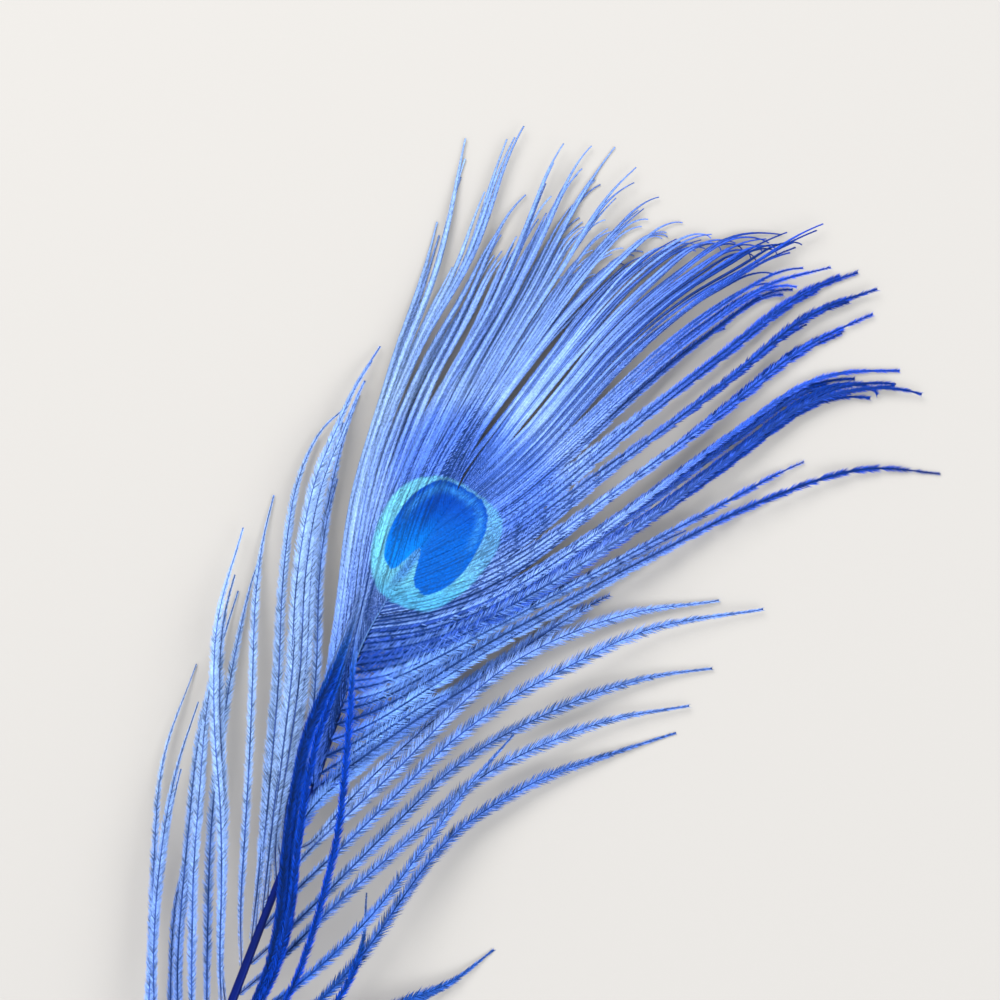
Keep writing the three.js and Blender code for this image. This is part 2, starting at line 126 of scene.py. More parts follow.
ALONE = ()
HERLS = [
    ("herl_left_1", -1, -46, 0.15, 3, 0.25, ALONE,
     [(30, -26), (29.6, 0), (31, 28), (32.8, 48.8), (38.6, 67)]),
    ("herl_left_2", -1, -37, 3, 5, 0.3, ((-0.9, 0.86, 0.4),),
     [(32.6, -20), (31.8, 0), (33.4, 26), (36.2, 46), (39.8, 59.4)]),
    ("herl_left_3", -1, -30, 1, 1, 0.35, ALONE,
     [(34.6, -14), (33.9, 0), (34.6, 16), (37, 30)]),
    ("herl_left_4", -1, -23, 0.15, 2, 0.35, ((0.8, 0.8, -0.4),),
     [(36.4, -10), (36, 8), (38, 32), (40.2, 53), (44, 70), (47.4, 81.6)]),
    ("herl_left_5", -1, -16, 4, 6, 0.3, ALONE,
     [(39, 0), (39.4, 20), (41, 42), (42, 60), (44, 74)]),
    ("herl_left_6", -1, -10.6, 0.4, 1, 0.3, ALONE,
     [(41.8, 2), (42.2, 24), (43.4, 44), (46, 66), (49.4, 82), (51.4, 88)]),
    ("herl_left_7", -1, -3, 3.2, 6, 0.3, ((0.7, 0.9, -0.5),),
     [(44.6, 8), (44.8, 24), (44.6, 40), (43.6, 58), (44.2, 76), (49, 94.4)]),
    ("herl_left_8", -1, 7, 0.15, 2.4, 0.3, ALONE,
     [(48.6, 17), (49.4, 34), (50, 60), (51, 80), (52.8, 92), (55, 100.8)]),
    ("herl_left_9", -1, 14, 0.6, 2, 0.2, ((-0.7, 0.93, 0.5),),
     [(52.6, 26), (54.4, 42), (56, 62), (57, 84), (59.8, 104), (64, 114), (68.4, 118.6)]),
    ("herl_left_10", -1, 20, 2.4, 4, 0.25, ((-0.8, 0.97, 0.3), (1.5, 0.93, 0.1), (2.7, 0.84, -0.2)),
     [(55, 33), (57, 50), (58.6, 66), (59.9, 86), (63, 103), (67.6, 114.6), (71.2, 122.6), (76.4, 130.8)]),
    ("herl_left_11", -1, 26, 0.15, 1.6, 0.25, ALONE,
     [(57.6, 39), (59.4, 52), (61.2, 68), (62.8, 84), (65.4, 100), (68.6, 111.6), (72.4, 121)]),
    ("herl_left_12", -1, 32, 2, 3, 0.5, ALONE,
     [(60.4, 45), (62.8, 57), (64.2, 70), (64.9, 84), (66.4, 96), (68.2, 104)]),
    ("herl_right_1", 1, 24, 0.15, 2, 0.35, ((-2.4, 0.62, 0.2),),
     [(63, 31.4), (71, 38.8), (80, 46.8), (90, 56), (104, 66.6), (126, 76.6), (144, 80.2)]),
    ("herl_right_2", 1, 15, 1.6, 3, 0.45, ALONE,
     [(60, 23), (70, 32.3), (80, 41.9), (90, 51.8), (100, 59.5), (112, 66.4), (130, 74.4), (153, 78)]),
    ("herl_right_3", 1, 8, 0.15, 2, 0.45, ALONE,
     [(58, 14.8), (70, 26), (80, 35.8), (90, 46.2), (100, 53.4), (116, 61), (130, 65.2), (142.6, 67)]),
    ("herl_right_4", 1, 2, 0.8, 2, 0.5, ALONE,
     [(56, 8.6), (66, 18.4), (80, 31.6), (88, 39.2), (96.4, 45.7), (107, 51), (122, 56.2), (138, 58.8)]),
    ("herl_right_5", 1, -6, 6.5, 4, 0.62, ALONE,
     [(58, 2.6), (68, 11), (75, 18.6), (80.6, 26), (85.4, 32.6), (92.3, 42), (102.6, 53.4)]),
    ("herl_right_6", 1, -14, 0.15, 1.6, 0.6, ALONE,
     [(58, -4.6), (66, 2), (74, 11), (80.5, 21), (86.5, 29.6), (93, 36), (108, 44.6), (122, 49.2),
      (135.4, 53.4)]),
    ("herl_right_7", 1, -26, 5.5, 7, 0.8, ALONE,
     [(50, -15.6), (62, -5.6), (69, 2.6), (72.8, 11.6), (73.6, 21.6)]),
    ("herl_right_8", 1, -31, 0.15, 2, 0.7, ((1.0, 0.9, 0.3),),
     [(46, -21.4), (60, -11), (80, -1), (90, 3), (98.6, 9.4)]),
    ("herl_over_1", 1, -12, 9.2, 5.4, 0.9,
     ((-0.55, 1, 0.5), (0.55, 0.93, 0.3), (-1.1, 0.97, -0.4), (1.0, 0.7, -0.3), (-1.6, 0.9, 0.2)),
     [(49, -4), (54, 5), (57.4, 17), (59.4, 34), (62.4, 52), (67.6, 66), (71, 76), (73.4, 86)]),
    ("herl_over_2", 1, -22, 9, 5.2, 0.88, ALONE,
     [(47, -12.6), (54, -4.6), (59, 4), (62.2, 13.5), (65, 24.5), (67.2, 35), (69.6, 57), (71, 70),
      (74.4, 84)]),
]

# The herls of the lowest stretch, evenly spaced along each side: how many, the heights at which the first and
# the last leave the shaft, their lengths, the angle they leave at and how far it opens, in degrees.
LOWEST = {
    -1: ("herl_low_left", 6, (-53, -87), (34, 20), 17, 14),
    1: ("herl_low_right", 7, (-37, -84), (58, 30), 32, 24),
}
LOWEST_POINTS = 4

# ---- The eye ----
# Closed outlines on the drawing: the pale ring's outer edge, and the dark heart with its notch.

RING = [
    (84, 104.4), (90.4, 104.2), (97, 100), (100.2, 96.4), (99.8, 91), (96, 85), (91, 80.4),
    (85, 77.8), (80, 79.2), (76, 81.8), (74.4, 87), (75, 93), (77.6, 99.4), (80.4, 102.6),
]
HEART = [
    (85, 102.8), (88.6, 104), (93, 102.3), (96.6, 99.4), (97.5, 95.5), (95.8, 90.6), (92.2, 85), (88, 82),
    (84.6, 81.3), (82.9, 83.5), (84, 90.4), (81, 88), (78.6, 86.3), (77, 88.6), (78, 94), (81.4, 99.8),
]
EYE_CENTRE = np.array([87.4, 91.5])
EYE_REACH = 24  # past this distance from its centre nothing of the eye shows
NOT_IN_EYE = -9.0  # the depth given to places that lie well outside it

# ---- Dyes, as seen on screen, 0 to 255 ----

CORNFLOWER = (141, 178, 255)
# PALE is also the colour of the painted highlight on the vane's strands.
PALE = (172, 206, 255)
VIOLET = (106, 148, 252)
SLATE = (104, 150, 222)
ULTRAMARINE = (0, 66, 192)
NAVY = (0, 38, 146)
PERIWINKLE = (128, 162, 236)
STEEL = (30, 88, 188)
RING_LEFT = (128, 222, 255)
RING_RIGHT = (100, 166, 226)
RING_BELOW = (92, 188, 242)
WEDGE = (88, 160, 240)
HEART_RIGHT = (0, 96, 202)
HEART_TOP = (0, 74, 186)
HEART_LEFT = (10, 140, 252)
HEART_FLECK = (70, 160, 240)
RAMUS_BLUE = (0, 68, 186)
QUILL_BLUE = (86, 128, 214)
SHAFT_BLUE = (0, 20, 90)


def linear(colour):
    """Screen colour to light: the sRGB curve, which is near enough to a power of 2.2, undone."""
    return (np.asarray(colour, float) / 255) ** 2.2


def smooth(x, low, high):
    """Smoothstep: 0 below low, 1 above high, and 3t^2 - 2t^3 of the share t between them."""
    t = np.clip((x - low) / (high - low), 0, 1)
    return t * t * (3 - 2 * t)


def mixed(a, b, share):
    """a where share is 0 and b where it is 1, in between in proportion; share has one number per row."""
    share = np.asarray(share)[..., None]
    return a + (b - a) * share


# ---- Lines ----

SUBSTEPS = 24


def unit(vectors):
    """Vectors divided by their lengths."""
    return vectors / np.linalg.norm(vectors, axis=-1, keepdims=True)


def raised(flat, height):
    """Points (x, y, z) from places (x, y) and a height for each."""
    return np.concatenate([flat, height[..., None]], axis=-1)


def line_through(points, shares, closed=False):
    """The centripetal Catmull-Rom curve through points, read at shares of its length.

    Each stretch is a cubic whose end slopes weigh the neighbouring chords by the roots of their lengths.
    """
    points = np.asarray(points, float)
    if closed:
        padded = np.vstack([points[-1], points, points[:2]])
    else:
        padded = np.vstack([2 * points[0] - points[1], points, 2 * points[-1] - points[-2]])
    gap = np.maximum(np.linalg.norm(np.diff(padded, axis=0), axis=1), 1e-9)[:, None] ** 0.5
    g0, g1, g2 = gap[:-2], gap[1:-1], gap[2:]
    p0, p1, p2, p3 = padded[:-3], padded[1:-2], padded[2:-1], padded[3:]
    slope1 = ((p1 - p0) / g0 - (p2 - p0) / (g0 + g1) + (p2 - p1) / g1) * g1
    slope2 = ((p2 - p1) / g1 - (p3 - p1) / (g1 + g2) + (p3 - p2) / g2) * g1
    t = np.linspace(0, 1, SUBSTEPS, endpoint=False)[None, :, None]
    p1, p2, slope1, slope2 = (a[:, None, :] for a in (p1, p2, slope1, slope2))
    cubic = (2 * p1 - 2 * p2 + slope1 + slope2) * t**3 + (-3 * p1 + 3 * p2 - 2 * slope1 - slope2) * t**2
    dense = (cubic + slope1 * t + p1).reshape(-1, points.shape[1])
    dense = np.vstack([dense, points[0] if closed else points[-1]])
    run = np.concatenate([[0], np.cumsum(np.linalg.norm(np.diff(dense, axis=0), axis=1))])
    return np.stack([np.interp(np.asarray(shares) * run[-1], run, axis) for axis in dense.T], axis=-1)


SHAFT_SHARES = np.linspace(0, 1, 601)
SHAFT_LINE = line_through(SHAFT_POINTS, SHAFT_SHARES)
SHAFT_ALONG = unit(np.gradient(SHAFT_LINE, axis=0))
SHAFT_RIGHT = np.stack([SHAFT_ALONG[:, 1], -SHAFT_ALONG[:, 0]], axis=1)


def along_shaft(rows, share):
    """Rows that go with SHAFT_SHARES, such as the shaft's line, read at shares of its length."""
    return np.stack([np.interp(share, SHAFT_SHARES, axis) for axis in rows.T], axis=-1)


def shaft_radius(share):
    """Radius at a share of the shaft's length: a cone, drawn in over a short stretch at the cut end."""
    cone = SHAFT_TIP_RADIUS * share + QUILL_RADIUS * (1 - share) ** SHAFT_TAPER
    return cone * (CUT_END_SHARE + (1 - CUT_END_SHARE) * smooth(share, 0, CUT_END_TAPER))


def shaft_height(share):
    """Height of the shaft's middle: it rests on its cut end and bows up before the eye."""
    resting = QUILL_RADIUS * CUT_END_SHARE
    return resting + (SHAFT_TIP_HEIGHT - resting) * share + SHAFT_ARCH * np.sin(np.pi * share)


def on_shaft(heights, side, depth=0.7):
    """Root points (x, y, z) on the shaft's side at heights of the drawing, sunk to `depth` of its radius."""
    share = np.interp(heights, SHAFT_LINE[:, 1], SHAFT_SHARES)
    aside = np.asarray(side) * shaft_radius(share) * depth
    at = along_shaft(SHAFT_LINE, share) + along_shaft(SHAFT_RIGHT, share) * aside[..., None]
    return raised(at, shaft_height(share))


# ---- Where the drawing lies in the frame ----


def turned(points):
    """Points of the drawing turned upright about its origin."""
    lean = math.radians(LEAN_DEG)
    x, y = points[..., 0], points[..., 1]
    upright = [x * math.cos(lean) - y * math.sin(lean), x * math.sin(lean) + y * math.cos(lean)]
    return np.stack(upright + [points[..., 2]] if points.shape[-1] == 3 else upright, axis=-1)


def drawing_offset():
    """How far the turned drawing moves: the CAD shaft's thin end lies where its last point comes."""
    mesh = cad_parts["shaft"].data
    places = np.empty(len(mesh.vertices) * 3)
    mesh.vertices.foreach_get("co", places)
    places = places.reshape(-1, 3) / MM
    thin_end = places[places[:, 1] > places[:, 1].max() - 0.1].mean(axis=0)
    return thin_end[:2] - turned(np.array(SHAFT_POINTS[-1], float))


OFFSET = drawing_offset()


def placed(points):
    """Points of the drawing, (x, y, z) in millimetres, as metres in the frame."""
    return (turned(points) + np.append(OFFSET, 0)) * MM


# ---- Dye and painted highlight by place ----

AT_ONCE = 20000  # places measured together


def depth_inside(outline, places):
    """Signed distance from each place to a closed outline, positive inside.

    The distance is the least one to the outline's chords; a place is inside when a level line from it to the
    right crosses an odd number of them.
    """
    ring = line_through(outline, np.linspace(0, 1, 121), closed=True)
    a, b = ring[:-1], ring[1:]
    edge = b - a
    found = np.empty(len(places))
    for start in range(0, len(places), AT_ONCE):
        p = places[start : start + AT_ONCE, None, :]
        t = np.clip(((p - a) * edge).sum(-1) / (edge**2).sum(-1), 0, 1)
        away = np.linalg.norm(p - (a + edge * t[..., None]), axis=-1).min(axis=1)
        spans = (a[:, 1] > p[..., 1]) != (b[:, 1] > p[..., 1])
        with np.errstate(divide="ignore", invalid="ignore"):
            cross_x = a[:, 0] + (p[..., 1] - a[:, 1]) / edge[:, 1] * edge[:, 0]
        inside = (spans & (p[..., 0] < cross_x)).sum(axis=1) % 2 == 1
        found[start : start + AT_ONCE] = np.where(inside, away, -away)
    return found


def eye_depths(places):
    """How deep each place (x, y) lies inside the eye's ring and inside its heart, in millimetres."""
    depths = np.full((len(places), 2), NOT_IN_EYE)
    near = np.linalg.norm(places - EYE_CENTRE, axis=1) < EYE_REACH
    depths[near, 0] = depth_inside(RING, places[near])
    depths[near, 1] = depth_inside(HEART, places[near])
    return depths


def vane_dye_and_highlight(places, tone):
    """The vane's colour by place, outside the eye, each zone blended in by a smoothstep of a distance.

    Violet above the eye, slate below, ultramarine and navy to the right. A pale arc above the eye and a pale
    left edge are a painted highlight; strands of high tone are paler too.
    """
    x, y = places[:, 0], places[:, 1]
    away = np.linalg.norm(places - EYE_CENTRE, axis=1)
    colour = np.tile(linear(CORNFLOWER), (len(places), 1))
    above = np.linalg.norm((places - (95, 106)) @ np.array([[0.85, -0.3], [0.53, 0.95]]), axis=1)
    colour = mixed(colour, linear(VIOLET), 1 - smooth(above, 12, 19))
    # The pale arc and the pale left edge are a painted highlight on the strands.
    highlight_arc = np.exp(-(((away - 30) / 5) ** 2)) * smooth(y, 98, 112)
    leftness = smooth(-x + 0.42 * (y - 80), -74, -58)
    highlight_and_pale_tone = highlight_arc * 0.4 + leftness * 0.5 + 0.2 * np.clip(tone, -1, 1)
    colour = mixed(colour, linear(PALE), np.clip(highlight_and_pale_tone, 0, 0.9))
    under = smooth(84 - y + 0.3 * (x - 80), 2, 16)
    colour = mixed(colour, linear(SLATE), 0.75 * under * (1 - leftness) * (1 - 0.8 * smooth(x - y, 22, 44)))
    reach = np.hypot(x - 88, y - 84)
    rightness = smooth(x - 0.3 * (y - 100), 96, 138) * smooth(reach, 26, 70)
    colour = mixed(colour, linear(ULTRAMARINE), 0.85 * rightness)
    return mixed(colour, linear(NAVY), 0.7 * smooth(reach, 70, 102) * rightness)


def ring_dye(places):
    """The ring's colour: turquoise on the left, greyer on the right, and deeper below the notch."""
    x, y = places[:, 0], places[:, 1]
    colour = mixed(linear(RING_LEFT), linear(RING_RIGHT), smooth(x + 0.3 * (y - 91), 84, 98))
    colour = mixed(colour, linear(RING_BELOW), smooth(86 - y, 0, 6))
    off_shaft = np.abs((places - (81, 86)) @ np.array([0.81, -0.58]))
    wedge = (1 - smooth(off_shaft, 0.4, 1.6)) * smooth(y, 81, 86)
    return mixed(colour, linear(WEDGE), wedge * (1 - smooth(y, 90, 92)))


def heart_dye(places, depth, fleck):
    """The heart's colour: darker at the top, brightest at the lower left, flecked inside its upper edge."""
    x, y = places[:, 0], places[:, 1]
    colour = mixed(linear(HEART_RIGHT), linear(HEART_TOP), smooth(y + 0.25 * (x - 88), 92, 101))
    leftness = smooth(84 - x + 0.65 * (y - 90), -1.5, 1.5)
    colour = mixed(colour, linear(HEART_LEFT), leftness * smooth(97 - y, 0, 8) * 0.8)
    band = np.exp(-(((depth - 1.5) / 0.7) ** 2)) * smooth(y + 0.5 * (x - 88), 91, 97)
    return mixed(colour, linear(HEART_FLECK), band * (0.25 + 0.6 * fleck))


# ---- Strands ----

# Stations along a strand, as shares of its length: close together at the root and at the tip.
STATIONS = 46
EVEN = np.linspace(0, 1, STATIONS + 1)
SHARES = 0.4 * EVEN**1.3 + 0.6 * np.sin(EVEN * np.pi / 2) ** 2

# The corners of a strand's section and of its barbules, as kinds of point that are dyed and painted with
# shade differently.
EDGE, FOOT, RIDGE, BARBULE_ROOT, BARBULE_TIP = range(5)
SECTION = np.array([EDGE, FOOT, RIDGE, FOOT, EDGE])


def triangles(*corners):
    """Triangles from three equal grids of their corners."""
    return np.stack(corners, -1).reshape(-1, 3)


def directions(path, roll):
    """For strands' paths (strand, station, xyz): unit vectors along, to the right and up, turned by roll."""
    along = unit(np.gradient(path, axis=1))
    right = unit(np.cross(along, (0, 0, 1)))
    up = np.cross(right, along)
    cos, sin = np.cos(roll)[..., None], np.sin(roll)[..., None]
    return along, right * cos + up * sin, up * cos - right * sin


# How a strand fills its row of the texture: its ribbon in the middle, its barbules to either side of that.
RIBBON_FROM = 0.42
CORNER_TAKES = 0.035
RIBBON_END = (0.42, 0.5, 0.58)
BARBULES_FROM = 0.51
BARBULES_OUT = np.array([0.11, 0.11, 0.2, 0.47])


def ribbons(path, right, up, half_width, foot, ridge):
    """Ribbons with a raised ramus: edge, foot, ridge, foot, edge at each station, flat below and closed.

    A grid of stations by five corners carried along the path. Texture places go by the share of the length
    and by the corner, in a row of its own for each strand.
    """
    strands, stations = path.shape[:2]
    foot = np.minimum(foot, 0.6 * half_width)
    across = np.stack([-half_width, -foot, 0 * foot, foot, half_width], axis=-1)
    rise = np.stack([0 * ridge, 0.5 * ridge, ridge, 0.5 * ridge, 0 * ridge], axis=-1)
    points = path[:, :, None] + right[:, :, None] * across[..., None] + up[:, :, None] * rise[..., None]
    index = np.arange(strands * stations * 5).reshape(strands, stations, 5)
    ahead = np.roll(index, -1, axis=2)
    a, b, c, d = index[:, :-1], ahead[:, :-1], ahead[:, 1:], index[:, 1:]
    row = np.arange(strands)[:, None, None] + 0 * a
    low = (row + RIBBON_FROM + CORNER_TAKES * np.arange(5)) / strands
    high = low + CORNER_TAKES / strands
    here = np.broadcast_to(np.linspace(0.01, 0.98, stations)[None, :-1, None], a.shape)
    there = here + 0.97 / (stations - 1)
    uv_a, uv_b, uv_c, uv_d = (np.stack(pair, -1) for pair in
                              ((here, low), (here, high), (there, high), (there, low)))
    faces = np.concatenate([triangles(a, d, c), triangles(a, c, b)])
    uv = np.concatenate([np.stack([uv_a, uv_d, uv_c], -2).reshape(-1, 3, 2),
                         np.stack([uv_a, uv_c, uv_b], -2).reshape(-1, 3, 2)])
    fan = np.array([[0, 1, 2], [0, 2, 3], [0, 3, 4]])
    ends = np.concatenate([index[:, 0][:, fan].reshape(-1, 3), index[:, -1][:, fan[:, ::-1]].reshape(-1, 3)])
    end_row = np.tile(np.repeat(np.arange(strands), 3), 2)[:, None]
    end_side = np.repeat([0.002, 0.99], strands * 3)[:, None] + np.array([[0, 0.006, 0]])
    end_uv = np.stack([end_side, (end_row + np.array([RIBBON_END])) / strands], axis=-1)
    return points.reshape(-1, 3), np.concatenate([faces, ends]), np.concatenate([uv, end_uv])


def read_at(values, strand, share):
    """values (strand, station, ...) read at a share of a strand, in proportion between its stations."""
    at = np.interp(share, SHARES, np.arange(len(SHARES)))
    low = np.minimum(at.astype(int), len(SHARES) - 2)
    part = (at - low).reshape(-1, *[1] * (values.ndim - 2))
    return values[strand, low] * (1 - part) + values[strand, low + 1] * part


def spikes(root, along, right, up, length, angle, lift, width):
    """Barbules: closed spikes of four faces, from a small triangle on the ramus to a point.

    The axis leans from `along` towards `right` by `angle` and rises by `lift`.
    """
    axis = unit(along * np.cos(angle)[:, None] + right * np.sin(angle)[:, None] + up * lift[:, None])
    across = unit(np.cross(axis, up))
    normal = np.cross(across, axis)
    tip = root + axis * length[:, None]
    low = root - normal * (width * 0.2)[:, None]
    points = np.stack(
        [low - across * (width / 2)[:, None], low + across * (width / 2)[:, None],
         root + normal * (width * 0.25)[:, None], tip], axis=1)
    base = np.arange(len(root))[:, None, None] * 4
    faces = base + np.array([[0, 1, 2], [1, 0, 3], [2, 1, 3], [0, 2, 3]])[None]
    return points.reshape(-1, 3), faces.reshape(-1, 3)


def wander(strands, size, waves=3):
    """A smooth random sway per strand: a sum of sines of the share, with falling strength."""
    k = np.arange(1, waves + 1)[None, :, None]
    strength = rng.normal(0, 1, (strands, waves, 1)) / k
    phase = rng.uniform(0, 2 * np.pi, (strands, waves, 1))
    return size * (strength * np.sin(np.pi * k * SHARES[None, None, :] + phase)).sum(axis=1)


NOTCH_EVERY = 6.5  # millimetres between the notches of a beaded fringe
LEAST_HEIGHT = 0.04  # of any point of a strand over the surface


def strands_of(path, roll, half_width, foot, ridge, fringe, angle, notches, spacing, barbule_width):
    """The geometry of a set of strands: each a ribbon with a row of barbules on either side.

    path is (strand, station, xyz); roll, half_width, foot, ridge, fringe (the barbules' length) and angle are
    (strand, station); notches is how deep the fringe is cut at intervals, one number per strand. Returns the
    points, each point's strand, kind, share and fleck (random, one value for the whole of a barbule), the
    faces, their texture places and how many of the faces belong to the ribbons.
    """
    strands, stations = path.shape[:2]
    along, right, up = directions(path, roll)
    points, faces, uv = ribbons(path, right, up, half_width, foot, ridge)
    found = [points]
    found_faces, found_uv = [faces], [uv]
    owner, kind = [np.repeat(np.arange(strands), stations * 5)], [np.tile(SECTION, strands * stations)]
    shares, flecks = [np.tile(np.repeat(SHARES, 5), strands)], [rng.uniform(0, 1, len(points))]
    sizes = np.linalg.norm(np.diff(path, axis=1), axis=-1).sum(axis=1)
    count = np.maximum((sizes / spacing).astype(int), 2)
    strand = np.repeat(np.arange(strands), count)
    order = np.arange(count.sum()) - np.repeat(np.cumsum(count) - count, count)
    base = len(points)
    phase = rng.uniform(0, 1, strands)
    for side in (-1, 1):
        share = (order + 0.5 + 0.3 * rng.uniform(-1, 1, len(order)) + 0.2 * side) / count[strand]
        share = np.clip(share, 0.004, 0.996)
        from_notch = np.abs((share * sizes[strand] / NOTCH_EVERY + phase[strand]) % 1 - 0.5)
        cut = notches[strand] * np.exp(-((from_notch / 0.09) ** 2))
        length, lean, ramus_height, ramus_foot, forward, outward, upward, root = (
            read_at(rows, strand, share) for rows in (fringe, angle, ridge, foot, along, right, up, path))
        length = length * rng.uniform(0.8, 1.12, len(share)) * (1 - cut)
        lean = lean + rng.normal(0, 0.07, len(share))
        lift = rng.normal(0.06, 0.1, len(share))
        outward = side * outward
        root = root + upward * (0.5 * ramus_height)[:, None]
        root += outward * (0.9 * ramus_foot)[:, None]
        width = barbule_width * np.clip(length / 0.9, 0.5, 1.6) * rng.uniform(0.8, 1.25, len(share))
        spike_points, spike_faces = spikes(root, forward, outward, upward, length, lean, lift, width)
        if side < 0:
            spike_faces = spike_faces[:, ::-1]
        reach = np.array([-0.45, 0.45, 0.0, 0.1]) / count[strand][:, None]
        across = BARBULES_FROM + side * BARBULES_OUT
        corner_uv = np.stack([np.clip(share[:, None] + reach, 0.001, 0.999),
                              (strand[:, None] + across[None, :]) / strands], axis=-1).reshape(-1, 2)
        found_uv.append(corner_uv[spike_faces])
        found.append(spike_points)
        found_faces.append(spike_faces + base)
        owner.append(np.repeat(strand, 4))
        kind.append(np.tile([BARBULE_ROOT] * 3 + [BARBULE_TIP], len(share)))
        shares.append(np.repeat(share, 4))
        flecks.append(np.repeat(rng.uniform(0, 1, len(share)), 4))
        base += len(spike_points)
    points = np.concatenate(found)
    points[:, 2] = np.maximum(points[:, 2], LEAST_HEIGHT)
    marks = [np.concatenate(rows) for rows in (owner, kind, shares, flecks)]
    return points, marks, np.concatenate(found_faces), np.concatenate(found_uv), len(faces)


# ---- Dyeing strands, with painted shade and highlight ----

# How bright each kind of point is painted: edge, foot, ridge, barbule root, barbule tip. The dim edges are
# painted shade between neighbouring strands, and the bright ridges of loose barbs and of ropes are a painted
# highlight. The dark foot and ridge elsewhere are the ramus's own deeper colour, and the barbules are paler
# towards their tips.
ZIPPED_RAMUS_AND_SHADE = (0.35, 0.25, 0.3, 0.85, 1.75)
LOOSE_SHADE_AND_HIGHLIGHT = (0.35, 0.55, 1.1, 0.8, 1.3)
LONE_RAMUS_AND_SHADE = (0.35, 0.22, 0.28, 0.75, 1.5)
HERL_RAMUS_AND_SHADE = (0.4, 0.35, 0.45, 0.6, 1.35)
ROPE_SHADE_AND_HIGHLIGHT = (0.25, 0.3, 0.6, 0.4, 1.4)
RING_RAMUS_AND_SHADE = (0.5, 0.4, 0.5, 1.0, 1.5)
HEART_EDGE_SHADE = (0.7, 0.68, 0.72, 0.9, 1.1)
BRIGHTEST = 0.95


def kept_hue(colour):
    """Dyes brighter than BRIGHTEST in one channel, brought down to it in all three alike."""
    return colour * np.minimum(1, BRIGHTEST / np.maximum(colour.max(axis=1), 1e-6))[:, None]


def shaded_vane_dyes(points, marks, tone, loose, herl_like, jitter):
    """Dyes for the vane's points with their painted shade and highlight: by place, in the ring and in the
    heart, and the depths inside the two.

    tone and herl_like are one number per strand, loose (strand, station) is 0 where it is zipped to its
    neighbours. The tone counts half where a strand is zipped and more below the eye and beyond it to the
    right; where it is low the strand is darker and nearer to ultramarine. jitter moves the eye's outlines a
    little for each strand.
    """
    owner, kind, share, fleck = marks
    places = points[:, :2]
    free = read_at(loose, owner, share)
    # Painted shade at the strands' edges and a painted highlight on the ridges of loose barbs; where zipped,
    # the ramus is darker.
    tone_and_shade = np.take(ZIPPED_RAMUS_AND_SHADE, kind) * (1 - free) + np.take(LOOSE_SHADE_AND_HIGHLIGHT, kind) * free
    likeness = herl_like[owner]
    tone_and_shade = tone_and_shade * (1 - likeness) + np.take(LONE_RAMUS_AND_SHADE, kind) * likeness
    x, y = places.T
    below = smooth(82 - y + 0.3 * (x - 80), 0, 12)
    beyond = smooth(np.hypot(*(places - EYE_CENTRE).T), 22, 38) * smooth(x - 0.5 * (y - 100), 92, 106)
    outside = np.maximum(below, beyond)
    tone = tone[owner] * (0.5 + 0.5 * np.maximum(free, outside) + 0.4 * outside)
    on_ramus = 0.8 * (kind <= RIDGE) * np.maximum(1 - free, likeness)
    colour = mixed(vane_dye_and_highlight(places, tone), linear(RAMUS_BLUE), on_ramus)
    by_shaft = (1 - smooth(share, 0.03, 0.14)) * smooth(76 - y, 0, 10)
    colour = mixed(colour, linear(ULTRAMARINE), 0.6 * by_shaft)
    colour = mixed(colour, linear(ULTRAMARINE), np.clip(-0.26 * tone, 0, 0.8))
    tone_and_shade = tone_and_shade * (0.6 + 1.05 * fleck) * np.clip(1 + 0.3 * tone, 0.6, 1.8)
    colour = kept_hue(colour * tone_and_shade[:, None])
    depths = eye_depths(places + jitter[owner][:, None] * np.array([0.6, 0.8]))
    # In the ring and the heart too, the strands' edges are painted with shade.
    ring_tone_and_shade = np.take(RING_RAMUS_AND_SHADE, kind) * (0.4 + 1.1 * fleck)
    heart_tone_and_shade = np.take(HEART_EDGE_SHADE, kind) * (0.86 + 0.2 * fleck)
    ring = ring_dye(places) * ring_tone_and_shade[:, None]
    heart = heart_dye(places, depths[:, 1], fleck) * heart_tone_and_shade[:, None]
    # Painted shade at the very root of each barb, in the crease where it leaves the shaft.
    root_shade = 0.25 + 0.75 * smooth(share, 0, 0.003)[:, None]
    return [kept_hue(c * root_shade) for c in (colour, ring, heart)] + [depths]


def shaded_herl_dyes(points, marks, tone, shade):
    """Dyes for loose herls, with painted shade: a deep ramus between paler barbules, brighter further up the
    feather.

    A herl of deep shade is part of a rope: it is one colour right across, and less deep towards its tip. The
    ring's and the heart's layers stay unused.
    """
    owner, kind, share, fleck = marks
    roped = smooth(shade, 0.7, 0.85)[owner]
    shade = shade[owner] * (1 - 0.45 * roped * smooth(share, 0.75, 1))
    colour = herl_dye(points[:, :2], shade, tone[owner])
    on_ramus = np.isin(kind, (FOOT, RIDGE)) * 0.75 * (1 - roped)
    colour = mixed(colour, linear(RAMUS_BLUE), on_ramus)
    # Painted shade at the strands' edges; a rope's ridge gets a painted highlight.
    tone_and_shade = np.take(HERL_RAMUS_AND_SHADE, kind) * (1 - roped) + np.take(ROPE_SHADE_AND_HIGHLIGHT, kind) * roped
    rightness = smooth(points[:, 0], 56, 76) * (1 - roped)
    tone_and_shade *= 1 + rightness * (0.4 * (kind == BARBULE_ROOT) - 0.5 * (kind == BARBULE_TIP))
    tone_and_shade *= 1 + 0.35 * smooth(points[:, 1], 60, 100)
    tone_and_shade = tone_and_shade * (0.25 + 1.25 * fleck) * np.clip(1 + 0.25 * tone[owner], 0.3, 1.6)
    colour = kept_hue(colour * tone_and_shade[:, None])
    return [colour, colour, colour, np.full((len(points), 2), NOT_IN_EYE)]


